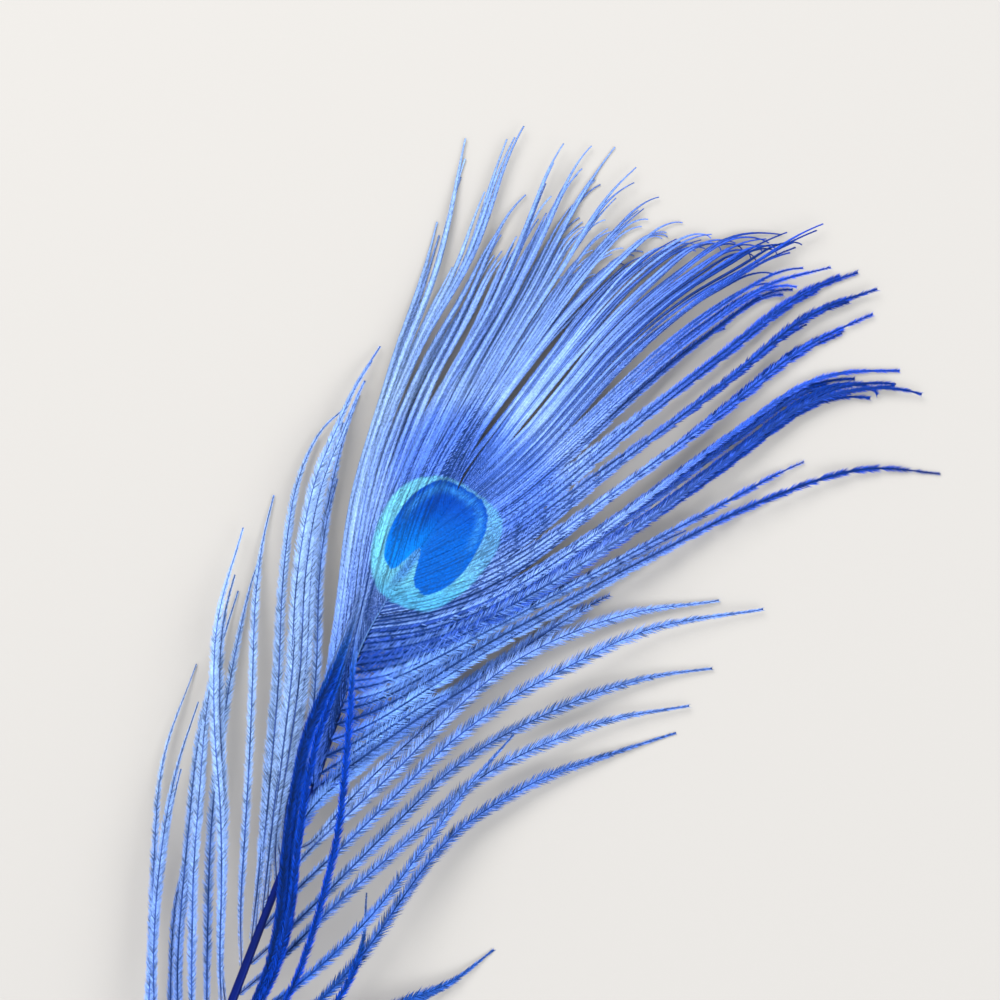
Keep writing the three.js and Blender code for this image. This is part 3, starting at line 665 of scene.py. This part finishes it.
def herl_dye(places, shade, tone):
    """A loose herl's colour: cornflower, steel, ultramarine and navy as the shade deepens.

    The paler ones are greyer to the right of the shaft and nearly white at the upper left.
    """
    x, y = places.T
    colour = mixed(linear(CORNFLOWER), linear(STEEL), smooth(shade, 0.2, 0.7))
    colour = mixed(colour, linear(PERIWINKLE), 0.6 * smooth(x, 62, 86) * (1 - smooth(shade, 0.5, 0.8)))
    colour = mixed(colour, linear(ULTRAMARINE), 0.9 * smooth(shade, 0.7, 0.85))
    colour = mixed(colour, linear(NAVY), 0.9 * smooth(shade, 0.8, 1.0))
    leftness = (1 - smooth(x, 60, 78)) * smooth(y, 5, 60) * (1 - smooth(shade, 0.5, 0.7))
    colour = mixed(colour, linear(PALE), 0.75 * leftness)
    return mixed(colour, linear(PALE), np.clip(0.15 * tone, 0, 1) * (1 - smooth(shade, 0.6, 0.8)))


# ---- Meshes ----


def add_piece(name, node, material, parts):
    """One mesh object from strand parts, standing for a CAD node."""
    points, faces, uv, rounded, (colour, ring, heart, depths) = parts
    mesh = bpy.data.meshes.new(name)
    mesh.vertices.add(len(points))
    mesh.vertices.foreach_set("co", placed(points).astype(np.float32).ravel())
    mesh.loops.add(faces.size)
    mesh.loops.foreach_set("vertex_index", faces.astype(np.int32).ravel())
    mesh.polygons.add(len(faces))
    mesh.polygons.foreach_set("loop_start", np.arange(0, faces.size, 3, dtype=np.int32))
    mesh.polygons.foreach_set("use_smooth", np.arange(len(faces)) < rounded)
    layer = mesh.uv_layers.new(name="OFBake")
    layer.uv.foreach_set("vector", uv.astype(np.float32).ravel())
    for label, values in (("dye_and_shade", colour), ("ring_dye", ring), ("heart_dye", heart)):
        attribute = mesh.attributes.new(label, "FLOAT_COLOR", "POINT")
        rgba = np.concatenate([values, np.ones((len(values), 1))], axis=1)
        attribute.data.foreach_set("color", rgba.astype(np.float32).ravel())
    for label, values in (("in_ring", depths[:, 0]), ("in_heart", depths[:, 1])):
        mesh.attributes.new(label, "FLOAT", "POINT").data.foreach_set("value", values.astype(np.float32))
    mesh.materials.append(material)
    mesh.update()
    piece = bpy.data.objects.new(name, mesh)
    bpy.context.scene.collection.objects.link(piece)
    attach(piece, "root")
    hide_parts(node)
    return piece


# ---- Materials ----


FLECK_RANGE = (0.3, 0.7)  # the middle of what a noise texture gives


def new_material(name):
    """A material with its nodes, its links and its shader."""
    material = bpy.data.materials.new(name)
    material.use_nodes = True
    nodes = material.node_tree.nodes
    return material, nodes, material.node_tree.links, nodes["Principled BSDF"]


def set_inputs(node, values):
    """A node's inputs set by name."""
    for label, value in values.items():
        node.inputs[label].default_value = value


def read_attribute(nodes, name, output):
    """The output of a node that reads one of the points' layers."""
    node = nodes.new("ShaderNodeAttribute")
    node.attribute_name = name
    return node.outputs[output]


def ranged(nodes, links, value, source, target, easing="LINEAR"):
    """A value mapped from one range to another, in proportion or by a smoothstep."""
    node = nodes.new("ShaderNodeMapRange")
    node.interpolation_type = easing
    set_inputs(node, {"From Min": source[0], "From Max": source[1], "To Min": target[0], "To Max": target[1]})
    links.new(value, node.inputs["Value"])
    return node.outputs["Result"]


def mix_colour(nodes, links, share, a, b, blend="MIX"):
    """Two colours mixed by a share; each of the three is a plain value or the output of a node."""
    node = nodes.new("ShaderNodeMix")
    node.data_type = "RGBA"
    node.blend_type = blend
    for socket, value in ((0, share), (6, a), (7, b)):
        if isinstance(value, (int, float, tuple)):
            node.inputs[socket].default_value = value
        else:
            links.new(value, node.inputs[socket])
    return node.outputs[2]


def feather_material(name, with_eye, roughness, sheen):
    """Dyed barbs: the dye and painted shade of each point, broken up by fine flecks, silky along the strand.
    """
    material, nodes, links, shader = new_material(name)
    flecks = nodes.new("ShaderNodeTexNoise")
    set_inputs(flecks, {"Scale": 2200, "Detail": 2})
    links.new(nodes.new("ShaderNodeTexCoord").outputs["Object"], flecks.inputs["Vector"])
    fleck = flecks.outputs["Fac"]
    colour = read_attribute(nodes, "dye_and_shade", "Color")
    if with_eye:
        for zone, dye_and_shade, softness in (("in_ring", "ring_dye", 0.35), ("in_heart", "heart_dye", 0.18)):
            depth = read_attribute(nodes, zone, "Fac")
            inside = ranged(nodes, links, depth, (-softness, softness), (0, 1), "SMOOTHSTEP")
            colour = mix_colour(nodes, links, inside, colour, read_attribute(nodes, dye_and_shade, "Color"))
    shading = ranged(nodes, links, fleck, FLECK_RANGE, (0.75, 1.2))
    links.new(mix_colour(nodes, links, 1.0, colour, shading, "MULTIPLY"), shader.inputs["Base Color"])
    rough = ranged(nodes, links, fleck, (0, 1), (roughness - 0.1, roughness + 0.12))
    links.new(rough, shader.inputs["Roughness"])
    set_inputs(shader, {
        "Specular IOR Level": 0.28, "Specular Tint": (0.2, 0.5, 1, 1),
        "Sheen Weight": sheen, "Sheen Roughness": 0.45, "Sheen Tint": (0.2, 0.5, 1, 1)})
    return material


def horn_material():
    """The dyed shaft: smooth horn with the dye of each point and fine streaks along it."""
    material, nodes, links, shader = new_material("dyed_horn")
    streaks = nodes.new("ShaderNodeTexNoise")
    stretch = nodes.new("ShaderNodeMapping")
    set_inputs(streaks, {"Scale": 900})
    set_inputs(stretch, {"Scale": (1, 0.06, 1)})
    links.new(nodes.new("ShaderNodeTexCoord").outputs["Object"], stretch.inputs["Vector"])
    links.new(stretch.outputs["Vector"], streaks.inputs["Vector"])
    tint = ranged(nodes, links, streaks.outputs["Fac"], FLECK_RANGE, (0.7, 1.25))
    colour = mix_colour(nodes, links, 1.0, read_attribute(nodes, "dye_and_shade", "Color"), tint, "MULTIPLY")
    links.new(colour, shader.inputs["Base Color"])
    bump = nodes.new("ShaderNodeBump")
    set_inputs(bump, {"Strength": 0.25, "Distance": 0.0001})
    links.new(streaks.outputs["Fac"], bump.inputs["Height"])
    links.new(bump.outputs["Normal"], shader.inputs["Normal"])
    set_inputs(shader, {"Roughness": 0.34, "Specular IOR Level": 0.28, "Specular Tint": (0.3, 0.5, 1, 1)})
    return material


VANE_BLUE = feather_material("shaded_vane_dyes", True, 0.45, 0.1)
HERL_BLUE = feather_material("dyed_herl", False, 0.5, 0.1)
HORN = horn_material()

# ---- The vane ----

GUIDES = np.stack([
    line_through([on_shaft(np.array(root), 1 if i > MIDLINE else -1)[:2], *line], np.linspace(0, 1, 201))
    for i, (_, root, _, _, _, _, line) in enumerate(VANE)
])
ROOTS, PARTS, TIPS, FRINGES = (np.array([row[k] for row in VANE], float) for k in (1, 2, 3, 4))

# Partings of the vane: the place between the guides, the width in millimetres, and the shares of the length
# over which it opens and closes.
GAPS = [
    (2.5, 1.6, (0.5, 0.75), (1.5, 2.0)),
    (8.22, 1.5, (0.02, 0.25), (0.55, 0.8)),
    (9.7, 0.8, (0.15, 0.3), (0.4, 0.6)),
    (11.45, 1.8, (0.3, 0.6), (0.9, 1.1)),
    (12.5, 1.2, (0.45, 0.8), (1.5, 2.0)),
    (13.5, 1.6, (0.35, 0.7), (1.5, 2.0)),
    (15.5, 2.6, (0.1, 0.5), (1.5, 2.0)),
    (17.5, 2.6, (0.25, 0.6), (1.5, 2.0)),
]
GAP_REACH = 0.7  # of a guide's distance over which the barbs beside a parting give way


def with_ends(table):
    """A table with a row for each guide, and one more at each end, as far on again as the last step."""
    return np.concatenate([2 * table[:1] - table[1:2], table, 2 * table[-1:] - table[-2:-1]])


def cubic(a, b, c, d, t):
    """The uniform Catmull-Rom cubic from b to c, t from 0 to 1, with end slopes (c - a)/2 and (d - b)/2."""
    return b + 0.5 * t * (c - a + t * (2 * a - 5 * b + 4 * c - d + t * (3 * (b - c) + d - a)))


def between(table, place):
    """Rows of a table read between the guides, by the cubic through the four nearest."""
    padded = with_ends(table)
    low = np.clip(np.floor(place).astype(int), 0, len(table) - 2)
    a, b, c, d = (padded[low + k] for k in range(4))
    return cubic(a, b, c, d, (place - low).reshape(place.shape + (1,) * (a.ndim - place.ndim)))


def on_fan(lane, share):
    """Places (x, y) at a lane between the guides and a share of their length."""
    padded = with_ends(GUIDES)
    low = np.clip(np.floor(lane).astype(int), 0, len(GUIDES) - 2)
    at = np.clip(share, 0, 1) * (GUIDES.shape[1] - 1)
    step = np.minimum(at.astype(int), GUIDES.shape[1] - 2)
    part = (at - step)[..., None]
    a, b, c, d = (padded[low + k, step] * (1 - part) + padded[low + k, step + 1] * part for k in range(4))
    return cubic(a, b, c, d, (lane - low)[..., None])


LOCKS = (-0.34, 0.0, 0.34)  # where in a tuft its locks lie
LOCK_REACH = (0.9, 1.0, 0.87)  # and the share of its length that each reaches
SINGLE_LOCKS_FROM = 12.5  # from this place between the guides on each tuft is one lock
ROPE = (15.5, 17.5)  # between these places the barbs lie together as a rope
ROPE_MIDDLE = 16.5
ROPE_KEEPS = 0.62  # of the distance of its barbs from its middle
ROPE_EDGES = (15.4, 15.6, 17.4, 17.6)

# How the barbs change from place to place between the guides: each table holds the places and the values.
LOCK_SPREAD = [(11, 17, 19, 20), (0.1, 0.12, 0.1, 0.25)]  # how far a barb strays within its lock
TONE_SPREAD = [(7, 9, 12, 14, 16, 17.3, 18), (0.4, 1.1, 0.9, 0.6, 1.4, 1.2, 0.5)]
LEVEL = [(8, 9.5, 12.5, 13.5), (1, 0.35, 0.35, 1)]  # how much the reach of the locks differs
UNEVEN = [(8, 9.5, 11, 12.5, *ROPE_EDGES), (0.06, 0.035, 0.035, 0.1, 0.1, 0.05, 0.05, 0.1)]
HOOKS = [(0, 3, 8, 10, 11.5, 13, *ROPE_EDGES, 20), (1, 1.6, 2.2, 3, 2.4, 0.7, 0.7, 2.8, 2.8, 0.5, 0.5)]
SLIMNESS = [(0, 4, 9, 11, *ROPE_EDGES), (0.5, 0.36, 0.3, 0.3, 0.32, 0.42, 0.42, 0.26)]

# How high over the shaft's middle the barbs are rooted, in radii, by their height on the drawing.
ROOTED_AT = [(60, 76), (0.84, 0.95)]


def vane_barbs():
    """All barbs of the vane: which tuft each belongs to, its place, its path, where it parts and its tone.

    Each starts at its home between the guides and is drawn into its lock past the parting point. Those of the
    rope only close up. The barb nearest to each guide follows it to its tip. A gap pushes the barbs on either
    side away from it, and the tips bend over to the right by a square of the last tenth.
    """
    counts = [row[5] for row in VANE]
    tuft = np.repeat(np.arange(len(VANE)), counts)
    order = np.concatenate([np.arange(n) for n in counts])
    count = np.array(counts)[tuft]
    home = np.clip(tuft + (order + 0.5 + rng.uniform(-0.2, 0.2, len(tuft))) / count - 0.5, -0.45, 20.45)
    lock = np.abs((home - tuft)[:, None] - np.array(LOCKS)[None]).argmin(axis=1)
    lock[home > SINGLE_LOCKS_FROM] = 1
    which, locks = tuft * len(LOCKS) + lock, len(VANE) * len(LOCKS)
    centre = tuft + np.array(LOCKS)[lock] + rng.normal(0, 0.05, locks)[which]
    aim = centre + rng.normal(0, 1, len(tuft)) * np.interp(home, *LOCK_SPREAD)
    in_rope = (home > ROPE[0]) & (home < ROPE[1])
    aim[in_rope] = ROPE_MIDDLE + ROPE_KEEPS * (home - ROPE_MIDDLE)[in_rope]
    parts = between(PARTS, home)
    early = 0.2 * (smooth(home, 12, 13) - 1.6 * np.exp(-(((home - ROPE_MIDDLE) / 0.8) ** 4)))[:, None]
    gather = smooth(SHARES[None], parts[:, None] - 0.15 - early, parts[:, None] + 0.35 - early)
    drawn = rng.uniform(0.8, 1, len(tuft)) ** np.interp(home, (11, 13), (1, 0.3))
    lead = [np.abs(home - i).argmin() for i in range(len(VANE))]
    aim[lead], drawn[lead] = np.arange(len(VANE)), 1
    lane = home[:, None] + (aim - home)[:, None] * gather * drawn[:, None]
    short = np.array(LOCK_REACH)[lock] - 1 + rng.uniform(-0.05, 0, locks)[which]
    reach = 1 + short * np.interp(home, *LEVEL)
    short_by = np.abs(rng.normal(0, 1, len(tuft))) * np.interp(home, *UNEVEN)
    reach -= short_by + rng.uniform(0, 0.4, len(tuft)) * (home > ROPE[1])
    reach[lead] = 1
    flat = on_fan(lane, SHARES[None] * reach[:, None])

    side = np.where(home > MIDLINE, 1, -1)
    root = on_shaft(np.clip(between(ROOTS, home), 33, 103), side, depth=0.15)
    radius = np.interp(root[:, 1], SHAFT_LINE[:, 1], shaft_radius(SHAFT_SHARES))
    root[:, 2] += np.interp(root[:, 1], *ROOTED_AT) * radius
    flat += (root[:, None, :2] - flat[:, :1]) * (1 - SHARES[None, :, None]) ** 4
    rise = smooth(SHARES, 0, 1)[None]
    height = root[:, 2:] * (1 - rise) + np.maximum(between(TIPS, home), 0.2)[:, None] * rise
    height = height + VANE_BOW * np.sin(np.pi * SHARES)[None]
    freed = smooth(SHARES[None], 0.6 * parts[:, None], parts[:, None] + 0.2)
    swell = np.sin(np.pi * SHARES ** 1.4)[None] * freed
    height += rng.normal(0, 0.5, (locks, 1))[which] * swell
    off_lock = np.minimum(np.abs(home - centre) / 0.2, 1.5)
    height -= 0.3 * off_lock[:, None] * swell
    height += wander(len(tuft), 0.16) * freed
    path = raised(flat, height)

    along, right, _ = directions(path, np.zeros(path.shape[:2]))
    sway = wander(len(tuft), 0.25) * smooth(SHARES, 0.25, 0.8)[None]
    sway -= 1.1 * (side < 0)[:, None] * (SHARES / 0.09 * np.exp(1 - SHARES / 0.09))[None]
    for place, width, opens, closes in GAPS:
        push = 0.5 * width * np.exp(-np.abs(home - place) / GAP_REACH) * np.sign(home - place)
        sway += push[:, None] * (smooth(SHARES, *opens) * (1 - smooth(SHARES, *closes)))[None]
    bend = np.clip((SHARES - 0.9) / 0.1, 0, 1)[None] ** 2
    hook = np.interp(home, *HOOKS) * rng.uniform(0.15, 1.3, len(home))
    path = path + right * (sway + hook[:, None] * bend)[..., None]
    path -= along * (0.2 * hook[:, None] ** 2 * bend ** 2)[..., None]
    path[..., 2] = np.maximum(path[..., 2], 0.25)
    tone = rng.normal(0, 0.22, locks)[which] - 0.2 * off_lock
    tone += rng.normal(0, 1, len(tuft)) * np.interp(home, *TONE_SPREAD)
    # The rope's barbs are a little deeper all through, and much darker along its lower side: painted shade
    # under the rope.
    tone -= (0.1 + 1.3 * smooth(home, 16.5, 17.2)) * smooth(home, 15.3, 15.6) * (1 - smooth(home, 17.5, 17.8))
    tone += 0.5 * np.sin(home * 9 + 2 * np.sin(home * 2.3))
    return tuft, home, path, parts, tone


VANE_SPACING = 0.34
VANE_BARBULE_WIDTH = 0.18


def make_vane():
    """The vane's pieces: zipped wings as wide as the gaps near the shaft, slim fringed barbs beyond.

    Widths, barbules and angles go from the zipped value to the loose one as a barb parts from its neighbours.
    """
    tuft, home, path, parts, tone = vane_barbs()
    gap = np.linalg.norm(np.diff(path[..., :2], axis=0), axis=-1)
    gap = np.clip(np.concatenate([gap[:1], (gap[:-1] + gap[1:]) / 2, gap[-1:]]), 0.25, 1.6)
    zipped_to = parts * rng.uniform(0.6, 0.85, len(home)) * np.interp(home, (6, 8, 12, 14), (1, 0.6, 0.6, 1))
    loose = smooth(SHARES[None], zipped_to[:, None] - 0.22, zipped_to[:, None] + 0.05)
    blunt = (0.4 + 0.6 * smooth(home, 8.5, 11.5) - 0.5 * smooth(home, 17.4, 18))[:, None]
    herl_like = smooth(home, 15.2, 17.5)
    taper = 1 - (0.7 - 0.15 * blunt) * smooth(SHARES, 0.84, 1)[None]
    slim = np.interp(home, *SLIMNESS)[:, None] * taper
    notches = 0.65 * smooth(home, 11.5, 13)
    leaf = np.interp(home, [14, 18], [0.9, 0.3])[:, None]
    half_width = np.minimum(0.55 * gap, leaf) * (1 - loose) + slim * loose
    foot = (0.15 + 0.06 * smooth(home, 11, 14))[:, None] * taper + 0 * half_width
    ridge = (0.1 + 0.18 * loose) * taper
    own_fringe = between(FRINGES, home)[:, None] * (1 - (0.8 - 0.5 * blunt) * smooth(SHARES, 0.88, 1)[None])
    zipped_fringe = np.minimum((0.6 + 1.1 * herl_like[:, None]) * gap + 0.12, 2.3) + 1.3 * (home < 0)[:, None]
    fringe = own_fringe * loose + zipped_fringe * (1 - loose)
    loose_angle = np.interp(between(FRINGES, home), [0.7, 1.4, 2.2], [25, 30, 36])[:, None]
    angle = np.radians((27 + 12 * herl_like[:, None]) * (1 - loose) + loose_angle * loose)
    roll = wander(len(home), 0.16) * loose
    jitter = rng.normal(0, 0.16, len(home))
    likeness = 0.85 * smooth(home, 9, 12.5) * np.interp(home, ROPE_EDGES, (1, 0.6, 0.6, 1))
    for i, row in enumerate(VANE):
        own = tuft == i
        points, marks, faces, uv, rounded = strands_of(
            path[own], roll[own], half_width[own], foot[own], ridge[own], fringe[own], angle[own],
            notches[own], VANE_SPACING, VANE_BARBULE_WIDTH)
        dyes_and_shade = shaded_vane_dyes(points, marks, tone[own], loose[own], likeness[own], jitter[own])
        name = row[0].replace("tuft", "vane")
        add_piece(name, row[0], VANE_BLUE, (points, faces, uv, rounded, dyes_and_shade))


# ---- The loose herls ----

HERL_FRINGE = 2.8
HERL_SPACING = 0.19
HERL_BARBULE_WIDTH = 0.165
HERL_NOTCHES = 0.15
HERL_BREADTH = [(36, 50, 58, 66, 90), (0.58, 0.7, 0.74, 0.8, 0.98)]  # by place across the drawing
ROOT_SPREAD = 2.6  # how much further along the shaft a companion is rooted for each millimetre it runs aside
ROPE_ROOT_SPREAD = 0.8


def herl_path(side, root, tip, bow, line, lane=0.0, reach=1.0, lift=0.0, spread=0.0):
    """A herl's path: its line, moved to the right by `lane` at the middle and cut to a share of its length.

    Its root lies further up or down the shaft by `spread` for each millimetre of the lane.
    """
    start = on_shaft(np.array(root - side * spread * lane), side)
    flat = line_through([start[:2], *line], SHARES * reach)
    rise = smooth(SHARES, 0, 1)
    height = start[2] * (1 - rise) + tip * rise + (bow + lift) * np.sin(np.pi * SHARES)
    path = raised(flat, height)[None]
    _, right, _ = directions(path, np.zeros((1, len(SHARES))))
    return path[0] + right[0] * (lane * np.sin(np.pi * np.clip(SHARES * 0.85 + 0.05, 0, 1)))[:, None]


def make_herls(node, shade, paths):
    """The piece of a node's herls: a slim ramus with two full rows of barbules, thinning out to the tip.

    Herls of deep shade are part of a rope: narrower, with shorter barbules, and less alike in tone.
    """
    path = np.stack(paths)
    count = len(path)
    _, right, up = directions(path, np.zeros(path.shape[:2]))
    ease = smooth(SHARES, 0.05, 0.5)[None]
    aside = wander(count, 0.55) * ease
    aloft = wander(count, 0.35) * ease
    path = path + right * aside[..., None] + up * aloft[..., None]
    path[..., 2] = np.maximum(path[..., 2], 0.15)
    full = (0.35 + 0.65 * smooth(SHARES, 0, 0.32)) * (1 - 0.68 * smooth(SHARES, 0.7, 1))[None]
    breadth = np.interp(path[..., 0].mean(axis=1), *HERL_BREADTH)[:, None]
    size = rng.uniform(0.88, 1.1, (count, 1)) * breadth
    roped = smooth(np.array(shade), 0.7, 0.9)
    half_width = 0.06 + (0.34 - 0.2 * roped) * full * size
    foot = (0.26 - 0.18 * SHARES[None]) + 0 * half_width
    ridge = foot * 1.1
    fringe = HERL_FRINGE * full * size * (1 - 0.2 * roped)
    angle = np.radians((34 - 16 * smooth(SHARES, 0.75, 1)) * (1 - 0.2 * roped))[None] + 0 * half_width
    roll = wander(count, 0.3)
    tone = rng.normal(0, 0.45 + 0.8 * roped, count)
    points, marks, faces, uv, rounded = strands_of(
        path, roll, half_width, foot, ridge, fringe, angle,
        np.full(count, HERL_NOTCHES), HERL_SPACING, HERL_BARBULE_WIDTH)
    dyes_and_shade = shaded_herl_dyes(points, marks, tone, shade + rng.normal(0, 0.03, count))
    add_piece(node.replace("herl_", "herls_"), node, HERL_BLUE, (points, faces, uv, rounded, dyes_and_shade))


def make_loose_herls():
    """The pieces of the HERLS table, each with its companions."""
    for node, side, root, tip, bow, shade, companions, line in HERLS:
        paths = [herl_path(side, root, tip, bow, line)]
        spread = ROPE_ROOT_SPREAD if "over" in node else ROOT_SPREAD
        paths += [herl_path(side, root, tip, bow, line, *friend, spread) for friend in companions]
        make_herls(node, shade, paths)


def lowest_line(side, root, length, leaves_deg, opens_deg):
    """The line of a herl on the lowest stretch: equal steps, each turned a little further off the shaft."""
    start = on_shaft(np.array(float(root)), side)
    share = np.interp(root, SHAFT_LINE[:, 1], SHAFT_SHARES)
    heading = along_shaft(SHAFT_ALONG, share)
    turns = -side * np.radians(leaves_deg + opens_deg * np.arange(LOWEST_POINTS) / (LOWEST_POINTS - 1))
    steps = np.stack([heading[0] * np.cos(turns) - heading[1] * np.sin(turns),
                      heading[0] * np.sin(turns) + heading[1] * np.cos(turns)], axis=1)
    return start[:2] + np.cumsum(steps, axis=0) * length / LOWEST_POINTS


def make_lowest_herls():
    """Pairs of herls down both sides, evenly spaced, the second of each pair a little lower and shorter."""
    for side, (name, count, roots, lengths, leaves, opens) in LOWEST.items():
        for i in range(count):
            share = i / (count - 1)
            gap = (roots[1] - roots[0]) / (count - 1)
            paths = []
            for k in range(2):
                root = roots[0] + (roots[1] - roots[0]) * share - 0.45 * k * gap
                length = (lengths[0] + (lengths[1] - lengths[0]) * share) * (1 - 0.08 * k)
                tip = 1.4 if (i + k) % 2 else 0.15
                line = lowest_line(side, root, length, leaves, opens)
                paths.append(herl_path(side, root, tip, 1.2 + 0.8 * (i % 3), line))
            make_herls(f"{name}_{i + 1}", 0.45 + 0.04 * i, paths)


# ---- The shaft ----

SHAFT_SIDES = 28
SHAFT_STEPS = 220
GROOVE_DEPTH = 0.16  # of the radius, along the middle of the upper face
QUILL_BARE_TO = 0.09  # share of the shaft's length below which it carries no barbs


def make_shaft():
    """A tapered rod carried along the shaft's line, with a groove on top.

    Its radius is r (1 - g exp(-(a/w)^2)) at angle a from the top. Both ends draw in to a point in the middle.
    """
    share = np.concatenate([[0, 0], np.linspace(0, 1, SHAFT_STEPS + 1), [1]])
    draw_in = np.ones(len(share))
    draw_in[[0, -1]] = 0.0
    draw_in[1] = 0.86
    at, right = along_shaft(SHAFT_LINE, share), along_shaft(SHAFT_RIGHT, share)
    angle = np.arange(SHAFT_SIDES) / SHAFT_SIDES * 2 * np.pi
    off_top = np.minimum(angle, 2 * np.pi - angle)
    groove = GROOVE_DEPTH * np.exp(-((off_top / 0.3) ** 2))[None] * smooth(share, 0.06, 0.2)[:, None]
    in_eye = smooth(share, 0.74, 0.82)  # there the barbs of both sides leave only a fine ridge of it to see
    slimmer = 1 - 0.5 * in_eye
    radius = (shaft_radius(share) * draw_in * slimmer)[:, None] * (1 - groove)
    flat = at[:, None] + right[:, None] * (radius * np.sin(angle)[None])[..., None]
    lifted = shaft_height(share) + 0.75 * shaft_radius(share) * in_eye
    height = lifted[:, None] + radius * np.cos(angle)[None]
    grid = raised(flat, height)
    rows, sides = grid.shape[:2]
    points = np.concatenate([grid[0, :1], grid[1:-1].reshape(-1, 3), grid[-1, :1]])
    index = 1 + np.arange((rows - 2) * sides).reshape(rows - 2, sides)
    around = np.roll(index, -1, axis=1)
    a, b, c, d = index[:-1], around[:-1], around[1:], index[1:]
    first, last = np.zeros(sides, int), np.full(sides, len(points) - 1)
    faces = np.concatenate([
        triangles(a, c, b), triangles(a, d, c), triangles(first, index[0], around[0]),
        triangles(last, around[-1], index[-1])])
    row_share = np.concatenate([[0], np.repeat(share[1:-1], sides), [1]])
    turn = np.concatenate([[0.5], np.tile(np.abs(1 - angle / np.pi), rows - 2), [0.5]])
    uv = np.stack([0.01 + 0.98 * row_share, 0.02 + 0.96 * turn], axis=-1)[faces]
    colour = mixed(linear(QUILL_BLUE), linear(SHAFT_BLUE), smooth(row_share, 0.02, 2 * QUILL_BARE_TO))
    depths = eye_depths(points[:, :2])
    eye = mixed(linear(SLATE) * 0.7, ring_dye(points[:, :2]) * 0.7, smooth(depths[:, 0], -0.4, 0.4))
    eye = mixed(eye, linear(HEART_TOP) * 0.7, smooth(depths[:, 1], -0.3, 0.3))
    colour = mixed(colour, eye, smooth(row_share, 0.76, 0.84))
    dyes_and_shade = colour, colour, colour, np.full((len(points), 2), NOT_IN_EYE)
    add_piece("shaft_rod", "shaft", HORN, (points, faces, uv, len(faces), dyes_and_shade))


# ---- Floor, light and camera ----

VIEW_SIDE = 200.0  # of the square of the drawing that the camera sees
FOCAL_LENGTH = 100.0
SENSOR = 36.0
SUBJECT_HEIGHT = 5.0  # the level at which the camera sees exactly that square
FLOOR_SIDE = 6  # metres


def make_floor():
    """A pale matt square that the feather lies on."""
    bpy.ops.mesh.primitive_plane_add(size=FLOOR_SIDE, location=(0, 0, 0))
    floor = bpy.context.object
    floor.name = "floor"
    material, _, _, shader = new_material("pale_floor")
    set_inputs(shader, {"Base Color": (0.43, 0.415, 0.395, 1), "Roughness": 0.9, "Specular IOR Level": 0.2})
    floor.data.materials.append(material)


def add_area_light(name, place, size, power, colour):
    """A round soft light that faces the middle of the floor."""
    light = bpy.data.lights.new(name, "AREA")
    light.shape = "DISK"
    light.size = size
    light.energy = power
    light.color = colour
    holder = bpy.data.objects.new(name, light)
    holder.location = place
    holder.rotation_euler = (-Vector(place)).to_track_quat("-Z", "Y").to_euler()
    bpy.context.scene.collection.objects.link(holder)


def make_light_and_camera():
    """Soft light from all round, a key from the upper left, a fill from the right, and the camera above.

    The camera leans with the drawing and stands off by side * lens / sensor, so that it sees VIEW_SIDE.
    """
    scene = bpy.context.scene
    world = bpy.data.worlds.new("studio")
    world.use_nodes = True
    set_inputs(world.node_tree.nodes["Background"], {"Color": (0.95, 0.97, 1, 1), "Strength": 1.2})
    scene.world = world
    add_area_light("key", (-0.75, 0.7, 0.95), 0.9, 17, (1, 0.98, 0.95))
    add_area_light("fill", (0.9, -0.3, 1.0), 1.0, 8, (0.95, 0.97, 1))
    scene.view_settings.view_transform = "Standard"

    camera = bpy.data.objects.new("camera", bpy.data.cameras.new("camera"))
    camera.data.lens = FOCAL_LENGTH
    camera.data.sensor_width = SENSOR
    camera.data.clip_start = 0.01
    centre = placed(np.array([[VIEW_SIDE / 2, VIEW_SIDE / 2, 0.0]]))[0]
    distance = VIEW_SIDE * FOCAL_LENGTH / SENSOR + SUBJECT_HEIGHT
    lean = Matrix.Rotation(math.radians(LEAN_DEG), 4, "Z")
    camera.matrix_world = Matrix.Translation((centre[0], centre[1], distance * MM)) @ lean
    scene.collection.objects.link(camera)
    scene.camera = camera


make_light_and_camera()
make_floor()
make_shaft()
make_vane()
make_loose_herls()
make_lowest_herls()
